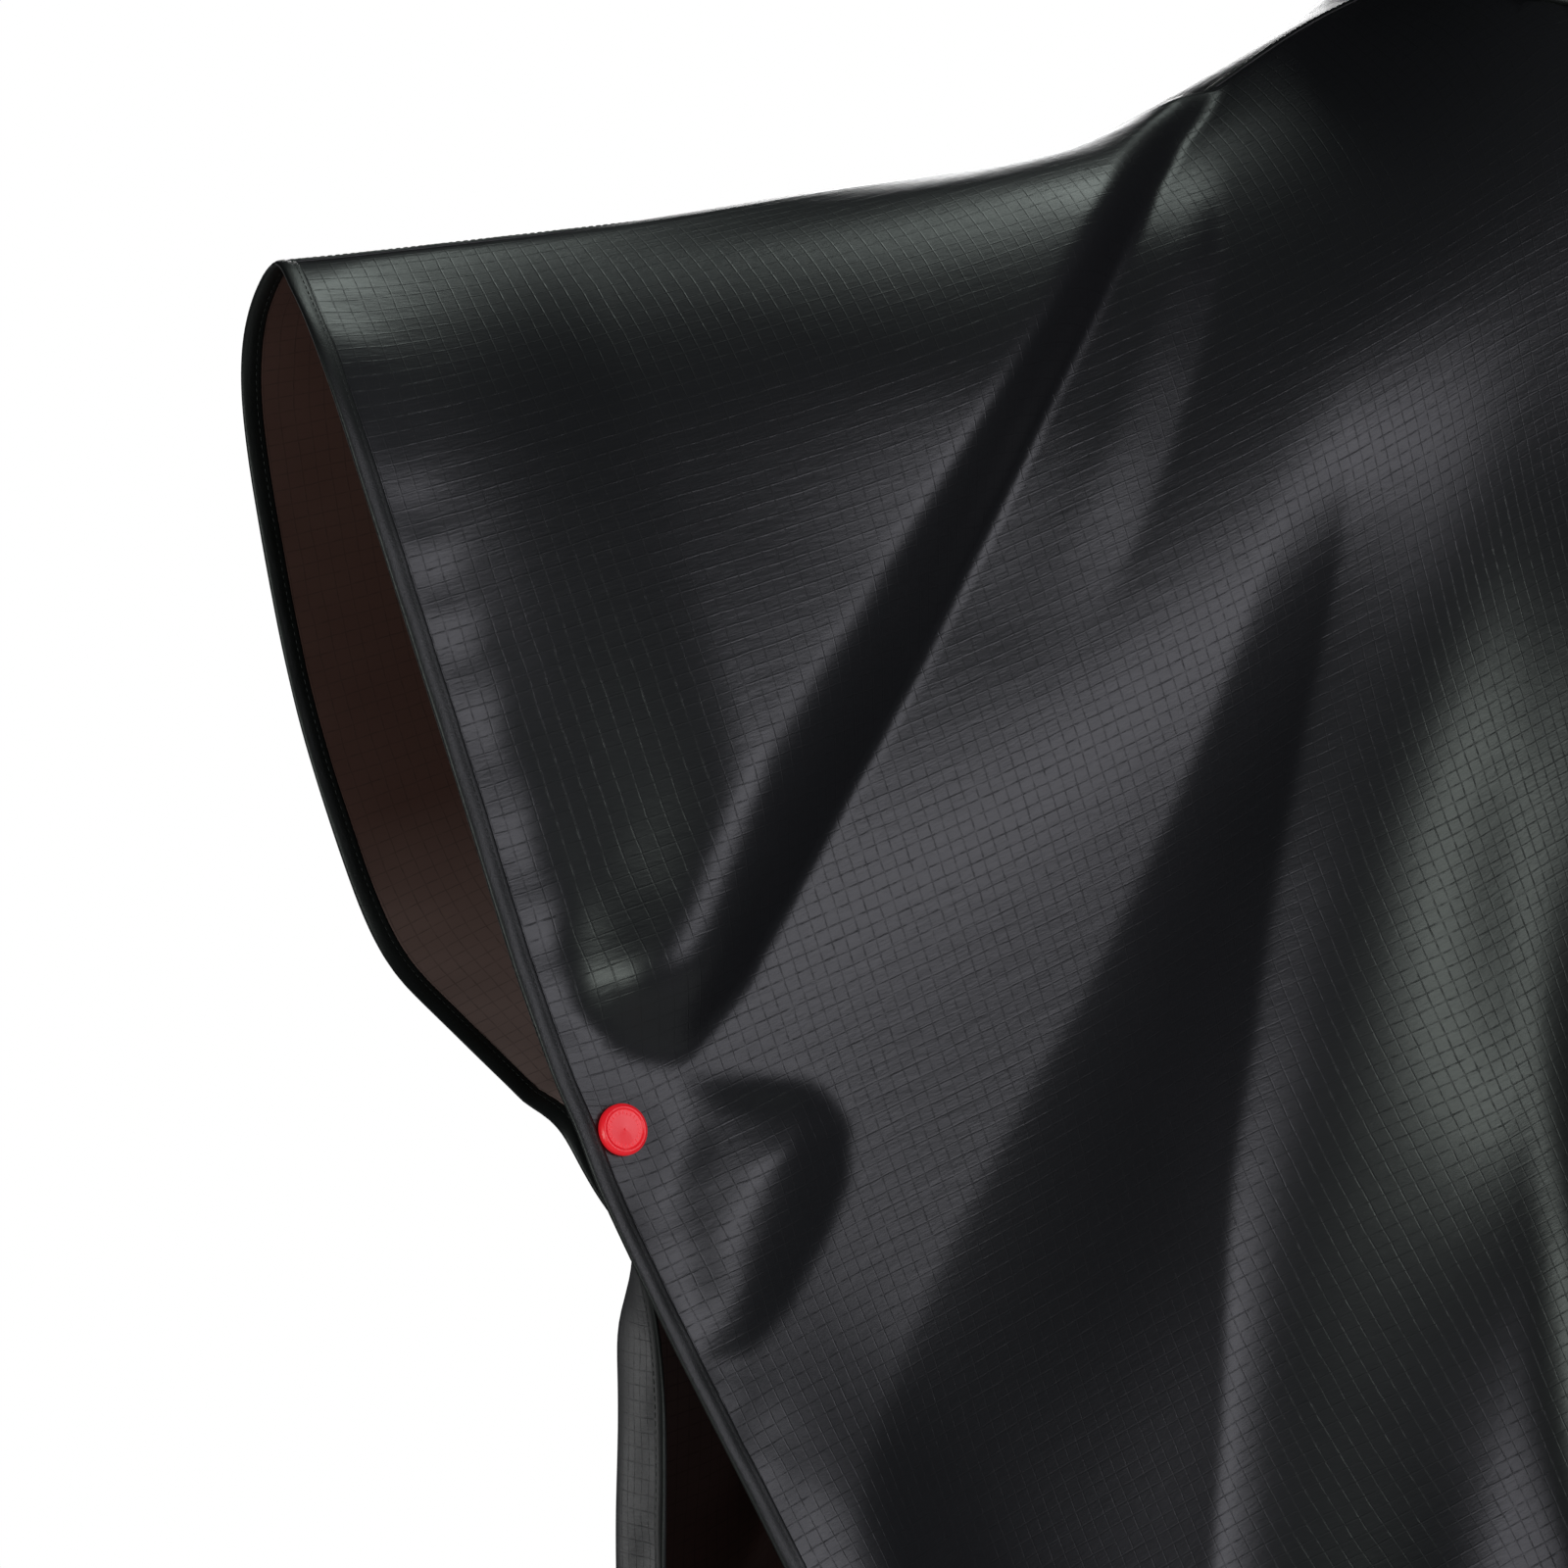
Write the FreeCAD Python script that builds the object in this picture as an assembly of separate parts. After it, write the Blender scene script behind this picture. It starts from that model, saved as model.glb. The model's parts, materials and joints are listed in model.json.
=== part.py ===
"""Hooded rain poncho of light coated ripstop, drawn as it hangs with the wearer's arms held out.

Row frame: origin between the shoulders at the base of the neck, +X to the wearer's left,
-Y to the front, +Z up. All lengths are in millimetres.
"""
import FreeCAD
import Part
import math
import os

V = FreeCAD.Vector

# Cloth and trim
CLOTH_T = 1.2
BINDING_W = 8.0
BINDING_T = 2.8
FRONT_LENGTH = 980.0
BACK_LENGTH = 1050.0

# Ridge line over the shoulders and arms
RIDGE_X = 592.0
RIDGE_END_Z = -124.0
RIDGE_NECK_Z = 20.0
NECK_RISE_RUN = 110.0
SHOULDER_FALL = 76.0
SHOULDER_START_X = 90.0
SHOULDER_RUN = 175.0
ARM_SLOPE = 0.1424
SEAM_R = 1.5
SEAM_GAP = 5.0

# Hanging shape: stations down each sheet, (distance from the ridge, x, y, z) at the bound edge
FRONT_EDGE = (
    (0.0, 592.0, 0.0, -124.0),
    (57.0, 591.0, -38.0, -160.0),
    (210.0, 551.0, -64.0, -305.0),
    (364.0, 510.0, -91.0, -452.0),
    (560.0, 429.0, -121.0, -628.0),
    (980.0, 252.0, -180.0, -1005.0),
)
BACK_EDGE = (
    (0.0, 592.0, 0.0, -124.0),
    (57.0, 590.0, 38.0, -160.0),
    (176.0, 567.0, 46.0, -278.0),
    (240.0, 551.0, 40.0, -338.0),
    (300.0, 537.0, 20.0, -392.0),
    (345.0, 524.0, -12.0, -422.0),
    (390.0, 514.0, -50.0, -443.0),
    (436.0, 510.0, -86.0, -457.0),
    (510.0, 478.0, -86.0, -523.0),
    (604.0, 471.0, -80.0, -617.0),
    (1050.0, 450.0, -50.0, -1062.0),
)
# The same down the middle of each sheet, (distance, y, z)
FRONT_CENTRE = (
    (0.0, 0.0, 20.0),
    (125.0, -123.0, -10.0),
    (190.0, -135.0, -75.0),
    (400.0, -155.0, -283.0),
    (700.0, -190.0, -580.0),
    (980.0, -215.0, -860.0),
)
BACK_CENTRE = (
    (0.0, 0.0, 20.0),
    (92.0, 87.0, 42.0),
    (125.0, 107.0, 20.0),
    (200.0, 117.0, -53.0),
    (600.0, 140.0, -452.0),
    (1050.0, 150.0, -902.0),
)
FRONT_ROUNDING = 1.35
BACK_ROUNDING = 1.6
FRONT_FOLD = 12.0
BACK_FOLD = 10.0
FOLD_WAVES = 2.0
GRID_ACROSS = 44
GRID_DOWN = 30

# Neck hole, an ellipse seen from above
NECK_RX = 88.0
NECK_RY = 105.0
NECK_Y = -18.0
NECK_SEAM_R = 2.2
NECK_TILT = 0.25
NECK_RIM_Z = 16.0

# Part of the front that stays with the shoulders when the front is lifted
YOKE_HALF_WIDTH = 200.0
YOKE_LOW_Z = -262.0
YOKE_GAP = 2.0

# Press studs
SNAP_X = 494.0
SNAP_Z = -452.0
CAP_R = 10.5
CAP_H = 3.4
CAP_BEVEL = 1.0
CAP_DISH_R = 8.7
CAP_DISH_DEPTH = 0.35
CAP_TICKS = 24
TICK_R = 0.45
TICK_RING_R = 7.35
TICK_RISE = 0.25
POST_R = 1.5
POST_END = 0.4
SOCKET_R = 7.4
SOCKET_BORE_R = 4.2
SOCKET_H = 3.0
SOCKET_ROOF = 0.5
SPRING_R = 4.0
SPRING_WIRE_R = 0.22
SPRING_DEPTH = 2.0
STUD_R = 6.4
STUD_HEAD_R = 3.4
STUD_FLANGE_T = 0.7
STUD_H = 3.0
STUD_CLEARANCE = 0.3
RIVET_T = 1.0
EMBED = 0.5
PATCH_R = 12.0
PATCH_T = 0.6
FRONT_LAYER = 3.0
BACK_LAYER = -2.2
FLAT_R = 17.0
FLAT_FADE = 60.0

# Throat flap over the slit at the neck
FLAP_HALF_WIDTH = 26.0
FLAP_TOP = 134.0
FLAP_LOW = 300.0
FLAP_LIFT = 6.0
FLAP_HEM_T = 2.0
SLIT_HALF_WIDTH = 3.0
SLIT_TOP = 90.0
SLIT_LOW = 282.0
SLIT_CUT = 12.0
UNDERLAP_HALF_WIDTH = 24.0
UNDERLAP_T = 0.8
UNDERLAP_LOW = 296.0
THROAT_SNAP_X = 9.0
THROAT_SNAPS = (160.0, 217.0, 274.0)

# Hood, drawn up: (height, half width, half depth, centre y, rise towards the back)
HOOD_RINGS = (
    (70.0, 100.0, 114.0, -10.0, 0.15),
    (115.0, 116.0, 128.0, 2.0, 0.05),
    (165.0, 120.0, 134.0, 8.0, 0.0),
    (215.0, 107.0, 124.0, 12.0, 0.0),
    (252.0, 76.0, 92.0, 16.0, 0.0),
    (271.0, 38.0, 48.0, 20.0, 0.0),
)
HOOD_TOP_Z = 277.0
HOOD_TOP_RX = 8.0
HOOD_TOP_RY = 11.0
HOOD_TOP_Y = 21.0
HOOD_SEAM_LIFT = 3.2
HOOD_T = 1.4
HOOD_END_CUT = 0.2
HOOD_BOX = 300.0
HEM_PROUD = 0.6
FACE_Y = -72.0
CHIN_Z = 40.0
CROWN_HALF_WIDTH = 34.0
EYELET_X = 46.0
EYELET_Z = 22.0
EYELET_R = 4.5
EYELET_HOLE_R = 2.2
EYELET_PROUD = 1.6
BRIM_DEPTH = 52.0
BRIM_HALF_WIDTH = 82.0
BRIM_ROOT_Z = 246.0
BRIM_DROP = 46.0
BRIM_FALL = 14.0
BRIM_T = 2.2
BRIM_BINDING_W = 6.0
BRIM_GRID = (16, 4)

# Small things at the nape, inside
LOOP_HALF_WIDTH = 22.0
LOOP_DROP = 30.0
LOOP_W = 6.0
LOOP_T = 1.5
LOOP_BACK = 5.0
LOOP_BELOW_RIM = 6.0
LABEL_W = 34.0
LABEL_H = 44.0
LABEL_T = 0.6
LABEL_PLACE = (34.0, 60.0, -72.0)
TACK_H = 3.4
TACK_T = 4.6
TACK_GAP = 1.1


def along(stations, distance):
    """Smooth values of a station list at a distance, as a tuple."""
    last = len(stations) - 2
    k = 0
    while k < last and stations[k + 1][0] < distance:
        k += 1
    start, end = stations[k], stations[k + 1]
    span = end[0] - start[0]
    t = min(max((distance - start[0]) / span, 0.0), 1.0)
    values = []
    for i in range(1, len(start)):
        before = stations[k - 1] if k else start
        after = stations[k + 2] if k < last else end
        slope_a = (end[i] - before[i]) / (end[0] - before[0])
        slope_b = (after[i] - start[i]) / (after[0] - start[0])
        rise = end[i] - start[i]
        cubic = (slope_a + slope_b) * span - 2.0 * rise
        square = 3.0 * rise - (2.0 * slope_a + slope_b) * span
        values.append(start[i] + t * (slope_a * span + t * (square + t * cubic)))
    return tuple(values)


def smooth(t):
    """Ease from 0 to 1."""
    t = min(max(t, 0.0), 1.0)
    return t * t * (3.0 - 2.0 * t)


def ridge_height(x):
    """Height of the fold line over the shoulder and the arm."""
    neck = RIDGE_NECK_Z * math.exp(-(x / NECK_RISE_RUN) ** 2)
    shoulder = SHOULDER_FALL * smooth((x - SHOULDER_START_X) / SHOULDER_RUN)
    arm = ARM_SLOPE * max(0.0, x - SHOULDER_START_X - SHOULDER_RUN)
    return neck - shoulder - arm


def hanging_point(across, down, edge, centre, rounding, fold):
    """A point of one sheet: across is -1 to 1 between the edges, down is from the ridge."""
    side = abs(across)
    edge_x, edge_y, edge_z = along(edge, down)
    mid_y, mid_z = along(centre, down)
    share = math.sin(0.5 * math.pi * side) ** rounding
    deep = (down / edge[-1][0]) ** 2 * (1.0 - side ** 4)
    wave = fold * deep * math.cos(2.0 * math.pi * FOLD_WAVES * side)
    y = mid_y + (edge_y - mid_y) * share + wave
    z = ridge_height(RIDGE_X * side)
    z += (mid_z - RIDGE_NECK_Z) * (1.0 - share) + (edge_z - RIDGE_END_Z) * share
    return V(across * edge_x, y, z)


def raw_front(across, down):
    return hanging_point(across, down, FRONT_EDGE, FRONT_CENTRE, FRONT_ROUNDING, -FRONT_FOLD)


def raw_back(across, down):
    return hanging_point(across, down, BACK_EDGE, BACK_CENTRE, BACK_ROUNDING, BACK_FOLD)


def snap_axis():
    """Way the front leaves the stud when it swings up about the shoulder line."""
    return V(0.0, SNAP_Z, 91.0).normalize()


def snap_centre(side):
    """Middle of a side press stud, between the two sheets."""
    across = SNAP_X / FRONT_EDGE[3][1]
    front = raw_front(across, FRONT_EDGE[3][0])
    centre = V(side * SNAP_X, front.y, SNAP_Z)
    return centre - snap_axis() * FRONT_LAYER


def flattened(point, layer):
    """The cloth lies flat and square to the stud axis close to a side press stud."""
    centre = snap_centre(1 if point.x > 0 else -1)
    axis = snap_axis()
    offset = point - centre
    height = offset.dot(axis)
    radius = (offset - axis * height).Length
    pull = 1.0 - smooth((radius - FLAT_R) / FLAT_FADE)
    return point + axis * ((layer - height) * pull)


def front_point(across, down):
    return flattened(raw_front(across, down), FRONT_LAYER)


def back_point(across, down):
    return flattened(raw_back(across, down), BACK_LAYER)


def outward(point_at, across, down, turn):
    """Unit normal of a sheet on its weather side."""
    step_a, step_d = 0.004, 2.0
    along_a = point_at(across + step_a, down) - point_at(across - step_a, down)
    along_d = point_at(across, down + step_d) - point_at(across, down - step_d)
    return (along_a.cross(along_d) * turn).normalize()


def spread(low, high, count):
    return [low + (high - low) * i / count for i in range(count + 1)]


def layer_surface(point_at, across_values, down_values, turn, lift):
    """Spline surface parallel to a sheet, lifted along its weather side."""
    grid = []
    for across in across_values:
        row = []
        for down in down_values:
            normal = outward(point_at, across, down, turn)
            row.append(point_at(across, down) + normal * lift)
        grid.append(row)
    surface = Part.BSplineSurface()
    surface.interpolate(grid)
    return surface


def between(lower, upper):
    """Closed solid between two surfaces drawn on the same grid."""
    u0, u1, v0, v1 = lower.bounds()
    p0, p1, q0, q1 = upper.bounds()
    faces = [lower.toShape(), upper.toShape()]
    pairs = ((lower.uIso(u0), upper.uIso(p0)), (lower.uIso(u1), upper.uIso(p1)),
             (lower.vIso(v0), upper.vIso(q0)), (lower.vIso(v1), upper.vIso(q1)))
    for one, two in pairs:
        faces.append(Part.makeRuledSurface(one.toShape(), two.toShape()))
    shell = Part.makeCompound(faces)
    shell.sewShape(0.01)
    solid = Part.makeSolid(Part.makeShell(shell.Faces))
    if solid.Volume < 0.0:
        solid.reverse()
    return solid


def cloth(point_at, turn, across, down, counts, low, high):
    """A stretch of cloth between two offsets of its sheet."""
    across_values = spread(across[0], across[1], counts[0])
    down_values = spread(down[0], down[1], counts[1])
    lower = layer_surface(point_at, across_values, down_values, turn, low)
    upper = layer_surface(point_at, across_values, down_values, turn, high)
    return between(lower, upper)


def neck_prism(grow):
    """Upright elliptical column through the neck hole."""
    ellipse = Part.Ellipse(V(0, NECK_Y, -200), NECK_RY + grow, NECK_RX + grow)
    edge = ellipse.toShape()
    edge.rotate(V(0, NECK_Y, -200), V(0, 0, 1), 90)
    return Part.Face(Part.Wire(edge)).extrude(V(0, 0, 400))


def yoke_box(grow):
    width = YOKE_HALF_WIDTH + grow
    low = YOKE_LOW_Z - grow
    return Part.makeBox(2 * width, 400, 600, V(-width, -350, low))


def disc(centre, axis, radius, start, end):
    """Round plate square to an axis, between two heights on it."""
    return Part.makeCylinder(radius, end - start, centre + axis * start, axis)


def ring(centre, axis, outer, inner, start, end):
    return disc(centre, axis, outer, start, end).cut(disc(centre, axis, inner, start - 1, end + 1))


def square_to(axis):
    """Two directions square to an axis."""
    first = V(1, 0, 0) if abs(axis.x) < 0.9 else V(0, 1, 0)
    first = (first - axis * first.dot(axis)).normalize()
    return first, axis.cross(first)


def snap_cap(centre, axis, base):
    """Cap with a bevelled rim, a shallow dish and a ring of plain raised ticks, on its post."""
    first, second = square_to(axis)
    top = base + CAP_H
    body = disc(centre, axis, CAP_R, base, top - CAP_BEVEL)
    shoulder = centre + axis * (top - CAP_BEVEL)
    bevel = Part.makeCone(CAP_R, CAP_R - CAP_BEVEL, CAP_BEVEL, shoulder, axis)
    dish = disc(centre, axis, CAP_DISH_R, top - CAP_DISH_DEPTH, top + 1.0)
    post = disc(centre, axis, POST_R, base - CLOTH_T - POST_END, base + EMBED)
    cap = body.fuse([bevel, post]).cut(dish)
    ticks = []
    for i in range(CAP_TICKS):
        angle = 2.0 * math.pi * i / CAP_TICKS
        way = first * math.cos(angle) + second * math.sin(angle)
        floor = top - CAP_DISH_DEPTH
        ticks.append(disc(centre + way * TICK_RING_R, axis, TICK_R, floor - TICK_RISE, floor + TICK_RISE))
    return cap.fuse(ticks)


def snap_socket(centre, axis, top):
    """Socket cup that closes over the stud, open towards the inner sheet."""
    cup = disc(centre, axis, SOCKET_R, top - SOCKET_H, top)
    return cup.cut(disc(centre, axis, SOCKET_BORE_R, top - SOCKET_H - 1.0, top - SOCKET_ROOF))


def snap_spring(centre, axis, top):
    """Ring spring in the socket's wall."""
    return Part.makeTorus(SPRING_R, SPRING_WIRE_R, centre + axis * (top - SPRING_DEPTH), axis)


def snap_stud(centre, axis, base):
    flange = disc(centre, axis, STUD_R, base, base + STUD_FLANGE_T)
    head = disc(centre, axis, STUD_HEAD_R, base + STUD_FLANGE_T, base + STUD_H)
    return flange.fuse(head)


def snap_rivet(centre, axis, face):
    """Rivet plate that holds a stud through the cloth."""
    plate = disc(centre, axis, STUD_R, face - RIVET_T, face)
    return plate.fuse(disc(centre, axis, POST_R, face - EMBED, face + CLOTH_T + EMBED))


def side_snaps():
    """Every piece of the two side press studs, by node name."""
    axis = snap_axis()
    half = CLOTH_T / 2.0
    pieces = {"side_caps": [], "side_sockets": [], "side_socket_springs": [], "front_snap_patches": [],
              "side_studs": [], "side_stud_rivets": [], "back_snap_patches": []}
    for side in (-1, 1):
        c = snap_centre(side)
        front_in = FRONT_LAYER - half
        back_in = BACK_LAYER + half
        pieces["side_caps"].append(snap_cap(c, axis, FRONT_LAYER + half))
        pieces["side_sockets"].append(snap_socket(c, axis, front_in))
        pieces["side_socket_springs"].append(snap_spring(c, axis, front_in))
        pieces["front_snap_patches"].append(
            ring(c, axis, PATCH_R, SOCKET_R + 0.1, front_in - PATCH_T, front_in))
        pieces["side_studs"].append(snap_stud(c, axis, back_in))
        pieces["side_stud_rivets"].append(snap_rivet(c, axis, BACK_LAYER - half))
        pieces["back_snap_patches"].append(
            ring(c, axis, PATCH_R, STUD_R + 0.1, back_in, back_in + PATCH_T))
    return pieces


def chest_place(x, down, lift):
    """A point over the middle of the chest, lifted off the front sheet."""
    across = x / along(FRONT_EDGE, down)[0]
    normal = outward(raw_front, across, down, -1)
    return raw_front(across, down) + normal * lift, normal


def chest_strip(half_width, top, low, lift_low, lift_high):
    """Strip of cloth down the middle of the chest."""
    def strip_point(across, down):
        return chest_place(across * half_width, down, 0.0)[0]
    return cloth(strip_point, -1, (-1.0, 1.0), (top, low), (8, 12), lift_low, lift_high)


def throat():
    """Flap over the throat slit, the underlap behind it and their press studs."""
    half = CLOTH_T / 2.0
    pieces = {"throat_caps": [], "throat_sockets": [], "throat_socket_springs": [],
              "throat_studs": [], "throat_stud_rivets": []}
    flap_inner = FLAP_LIFT - half
    stud_base = flap_inner - SOCKET_H - STUD_CLEARANCE - STUD_FLANGE_T
    rivet_top = -half - UNDERLAP_T
    for down in THROAT_SNAPS:
        c, axis = chest_place(THROAT_SNAP_X, down, 0.0)
        pieces["throat_caps"].append(snap_cap(c, axis, FLAP_LIFT + half))
        pieces["throat_sockets"].append(snap_socket(c, axis, flap_inner))
        pieces["throat_socket_springs"].append(snap_spring(c, axis, flap_inner))
        pieces["throat_studs"].append(snap_stud(c, axis, stud_base))
        pieces["throat_stud_rivets"].append(disc(c, axis, STUD_R, rivet_top - RIVET_T, rivet_top))
    inner_half = FLAP_HALF_WIDTH - BINDING_W / 2.0
    inner_low = FLAP_LOW - BINDING_W / 2.0
    hem_half = FLAP_HEM_T / 2.0
    flap = chest_strip(inner_half, FLAP_TOP, inner_low, flap_inner, FLAP_LIFT + half)
    hem = chest_strip(FLAP_HALF_WIDTH, FLAP_TOP, FLAP_LOW, FLAP_LIFT - hem_half, FLAP_LIFT + hem_half)
    window = chest_strip(
        inner_half, FLAP_TOP - BINDING_W, inner_low, FLAP_LIFT - BINDING_W, FLAP_LIFT + BINDING_W)
    pieces["throat_flap"] = [flap]
    pieces["throat_flap_binding"] = [hem.cut(window)]
    pieces["throat_underlap"] = [
        chest_strip(UNDERLAP_HALF_WIDTH, FLAP_TOP, UNDERLAP_LOW, rivet_top, -half)]
    return pieces


def hood_wire(height, half_width, half_depth, centre_y, tilt):
    ellipse = Part.Ellipse(V(0, centre_y, height), half_depth, half_width)
    edge = ellipse.toShape()
    edge.rotate(V(0, centre_y, height), V(0, 0, 1), 90)
    if tilt:
        edge.rotate(V(0, centre_y, height), V(1, 0, 0), math.degrees(math.atan(tilt)))
    return Part.Wire(edge)


def hood_solid(grow, extend):
    """Filled hood, grown by a thickness, with its seam end carried down by extend."""
    stretch = math.sqrt(1.0 + NECK_TILT ** 2)
    base = NECK_RIM_Z + HOOD_SEAM_LIFT
    root = hood_wire(base - extend, NECK_RX + grow, (NECK_RY + grow) * stretch, NECK_Y, NECK_TILT)
    wires = [root]
    for height, half_width, half_depth, centre_y, tilt in HOOD_RINGS:
        wires.append(hood_wire(height, half_width + grow, half_depth + grow, centre_y, tilt))
    wires.append(hood_wire(HOOD_TOP_Z + grow, HOOD_TOP_RX, HOOD_TOP_RY, HOOD_TOP_Y, 0.0))
    return Part.makeLoft(wires, True, False)


def hood():
    """Left, right and crown panels, face binding and drawcord eyelets of the hood."""
    shell = hood_solid(0.0, 0.0).cut(hood_solid(-HOOD_T, HOOD_END_CUT))
    thick = hood_solid(HEM_PROUD, 0.0).cut(hood_solid(-HOOD_T - HEM_PROUD, HOOD_END_CUT))
    wide = HOOD_BOX
    face = Part.makeBox(2 * wide, wide, wide, V(-wide, FACE_Y - wide, CHIN_Z))
    rim = Part.makeBox(2 * wide, wide + BINDING_W, wide, V(-wide, FACE_Y - wide, CHIN_Z - BINDING_W))
    shell = shell.cut(face)
    binding = thick.cut(face).common(rim)
    panels = shell.cut(rim)
    corner = V(-CROWN_HALF_WIDTH, FACE_Y, CHIN_Z - 20)
    crown_box = Part.makeBox(2 * CROWN_HALF_WIDTH, wide, wide, corner)
    crown = panels.common(crown_box)
    sides = panels.cut(crown_box)
    eyelets = []
    for side in (-1, 1):
        depth = NECK_RY * math.sqrt(1.0 - (EYELET_X / NECK_RX) ** 2)
        place = V(side * EYELET_X, NECK_Y - depth - 1.0, EYELET_Z)
        normal = V(side * EYELET_X / NECK_RX ** 2, -depth / NECK_RY ** 2, 0).normalize()
        hole = disc(place, normal, EYELET_HOLE_R, -12, 12)
        sides = sides.cut(hole)
        eyelets.append(ring(place, normal, EYELET_R, EYELET_HOLE_R, -3.0, EYELET_PROUD))
    halves = {}
    for side, name in ((-1, "hood_right_panel"), (1, "hood_left_panel")):
        corner = V(0 if side > 0 else -wide, -wide, -wide)
        halves[name] = [sides.common(Part.makeBox(wide, 2 * wide, 2 * wide, corner))]
    halves["hood_crown_panel"] = [crown]
    halves["hood_face_binding"] = [binding]
    halves["hood_eyelets"] = eyelets
    return halves


def brim_point(across, out):
    """Stiff brim over the brow: across -1 to 1, out 0 to 1 away from the hood."""
    reach = BRIM_DEPTH * (1.0 - 0.6 * across ** 4) * out
    x = BRIM_HALF_WIDTH * across * (1.0 + 0.03 * out)
    z = BRIM_ROOT_Z - BRIM_DROP * across * across - BRIM_FALL * out * (1.0 - 0.5 * across * across)
    return V(x, FACE_Y - 2.0 - reach, z)


def brim_slab(thickness, start, end):
    """Stretch of the brim of one thickness, between two shares of its depth."""
    surfaces = []
    for lift in (-thickness / 2.0, thickness / 2.0):
        rows = []
        for across in spread(-1.0, 1.0, BRIM_GRID[0]):
            outs = spread(start, end, BRIM_GRID[1])
            rows.append([brim_point(across, out) + V(0, 0, lift) for out in outs])
        surface = Part.BSplineSurface()
        surface.interpolate(rows)
        surfaces.append(surface)
    return between(surfaces[0], surfaces[1])


def brim():
    edge_share = 1.0 - BRIM_BINDING_W / BRIM_DEPTH
    return {"brim_panel": brim_slab(BRIM_T, 0.0, edge_share),
            "brim_binding": brim_slab(BRIM_T + 2.0 * HEM_PROUD, edge_share, 1.0)}


def neck_seam():
    """Rolled seam round the neck hole, where the hood is sewn on."""
    points = []
    count = 36
    for i in range(count):
        angle = 2.0 * math.pi * i / count
        y = NECK_Y + NECK_RY * math.sin(angle)
        points.append(V(NECK_RX * math.cos(angle), y, NECK_RIM_Z + NECK_TILT * (y - NECK_Y)))
    curve = Part.BSplineCurve()
    curve.interpolate(points, PeriodicFlag=True)
    path = Part.Wire(curve.toShape())
    start = path.Edges[0]
    tangent = start.tangentAt(start.FirstParameter)
    circle = Part.Wire(Part.makeCircle(NECK_SEAM_R, points[0], tangent))
    return path.makePipeShell([circle], True, False)


def shoulder_seam(side):
    """Rolled seam along the fold line from the neck to the sleeve hem."""
    points = []
    for x in spread(NECK_RX + 8.0, RIDGE_X - 1.0, 20):
        points.append(V(side * x, 0, ridge_height(x) + SEAM_R * 0.4))
    curve = Part.BSplineCurve()
    curve.interpolate(points)
    path = Part.Wire(curve.toShape())
    tangent = points[1] - points[0]
    circle = Part.Wire(Part.makeCircle(SEAM_R, points[0], tangent))
    return path.makePipeShell([circle], True, False)


def hanger():
    """Woven loop inside the nape, the two tacks that hold it, and a blank label."""
    y = NECK_Y + NECK_RY - LOOP_BACK
    top = NECK_RIM_Z + NECK_TILT * NECK_RY - LOOP_BELOW_RIM
    gap_half = LOOP_HALF_WIDTH - LOOP_W
    low = top - LOOP_DROP
    outer = Part.makeBox(2 * LOOP_HALF_WIDTH, LOOP_T, LOOP_DROP, V(-LOOP_HALF_WIDTH, y - LOOP_T, low))
    gap_corner = V(-gap_half, y - LOOP_T - 1, low + LOOP_W)
    inner = Part.makeBox(2 * gap_half, LOOP_T + 2, LOOP_DROP - LOOP_W, gap_corner)
    tacks = []
    for side in (-1, 1):
        x = side * (LOOP_HALF_WIDTH - LOOP_W / 2)
        corner = V(x - LOOP_W / 2 - 1, y - LOOP_T, top + TACK_GAP)
        tacks.append(Part.makeBox(LOOP_W + 2, TACK_T, TACK_H, corner))
    label = Part.makeBox(LABEL_W, LABEL_T, LABEL_H, V(*LABEL_PLACE))
    return {"hanger_loop": outer.cut(inner), "hanger_tacks": tacks, "care_label": label}


def sheets():
    """The two body panels with their bindings, by node name."""
    half = CLOTH_T / 2.0
    bind = BINDING_T / 2.0
    inner = 1.0 - BINDING_W / RIDGE_X
    grid = (GRID_ACROSS, GRID_DOWN)
    nodes = {}
    hole = neck_prism(0.0)
    back_down = (0.0, BACK_LENGTH - BINDING_W)
    front_down = (SEAM_GAP, FRONT_LENGTH - BINDING_W)
    back = cloth(back_point, 1, (-inner, inner), back_down, grid, -half, half)
    front = cloth(front_point, -1, (-inner, inner), front_down, grid, -half, half)
    slit = chest_strip(SLIT_HALF_WIDTH, SLIT_TOP, SLIT_LOW, -SLIT_CUT, SLIT_CUT)
    nodes["back_panel"] = back.cut(hole)
    nodes["front_yoke"] = front.common(yoke_box(0.0)).cut(hole).cut(slit)
    nodes["front_panel"] = front.cut(yoke_box(YOKE_GAP))
    narrow = (2, GRID_DOWN)
    low = (GRID_ACROSS, 2)
    for side, name in ((-1, "right"), (1, "left")):
        span = (inner, 1.0) if side > 0 else (-1.0, -inner)
        nodes["front_%s_binding" % name] = cloth(
            front_point, -1, span, (SEAM_GAP, FRONT_LENGTH), narrow, -bind, bind)
        nodes["back_%s_binding" % name] = cloth(
            back_point, 1, span, (0.0, BACK_LENGTH), narrow, -bind, bind)
    front_hem = (FRONT_LENGTH - BINDING_W, FRONT_LENGTH)
    back_hem = (BACK_LENGTH - BINDING_W, BACK_LENGTH)
    nodes["front_hem_binding"] = cloth(front_point, -1, (-inner, inner), front_hem, low, -bind, bind)
    nodes["back_hem_binding"] = cloth(back_point, 1, (-inner, inner), back_hem, low, -bind, bind)
    return nodes


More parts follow.
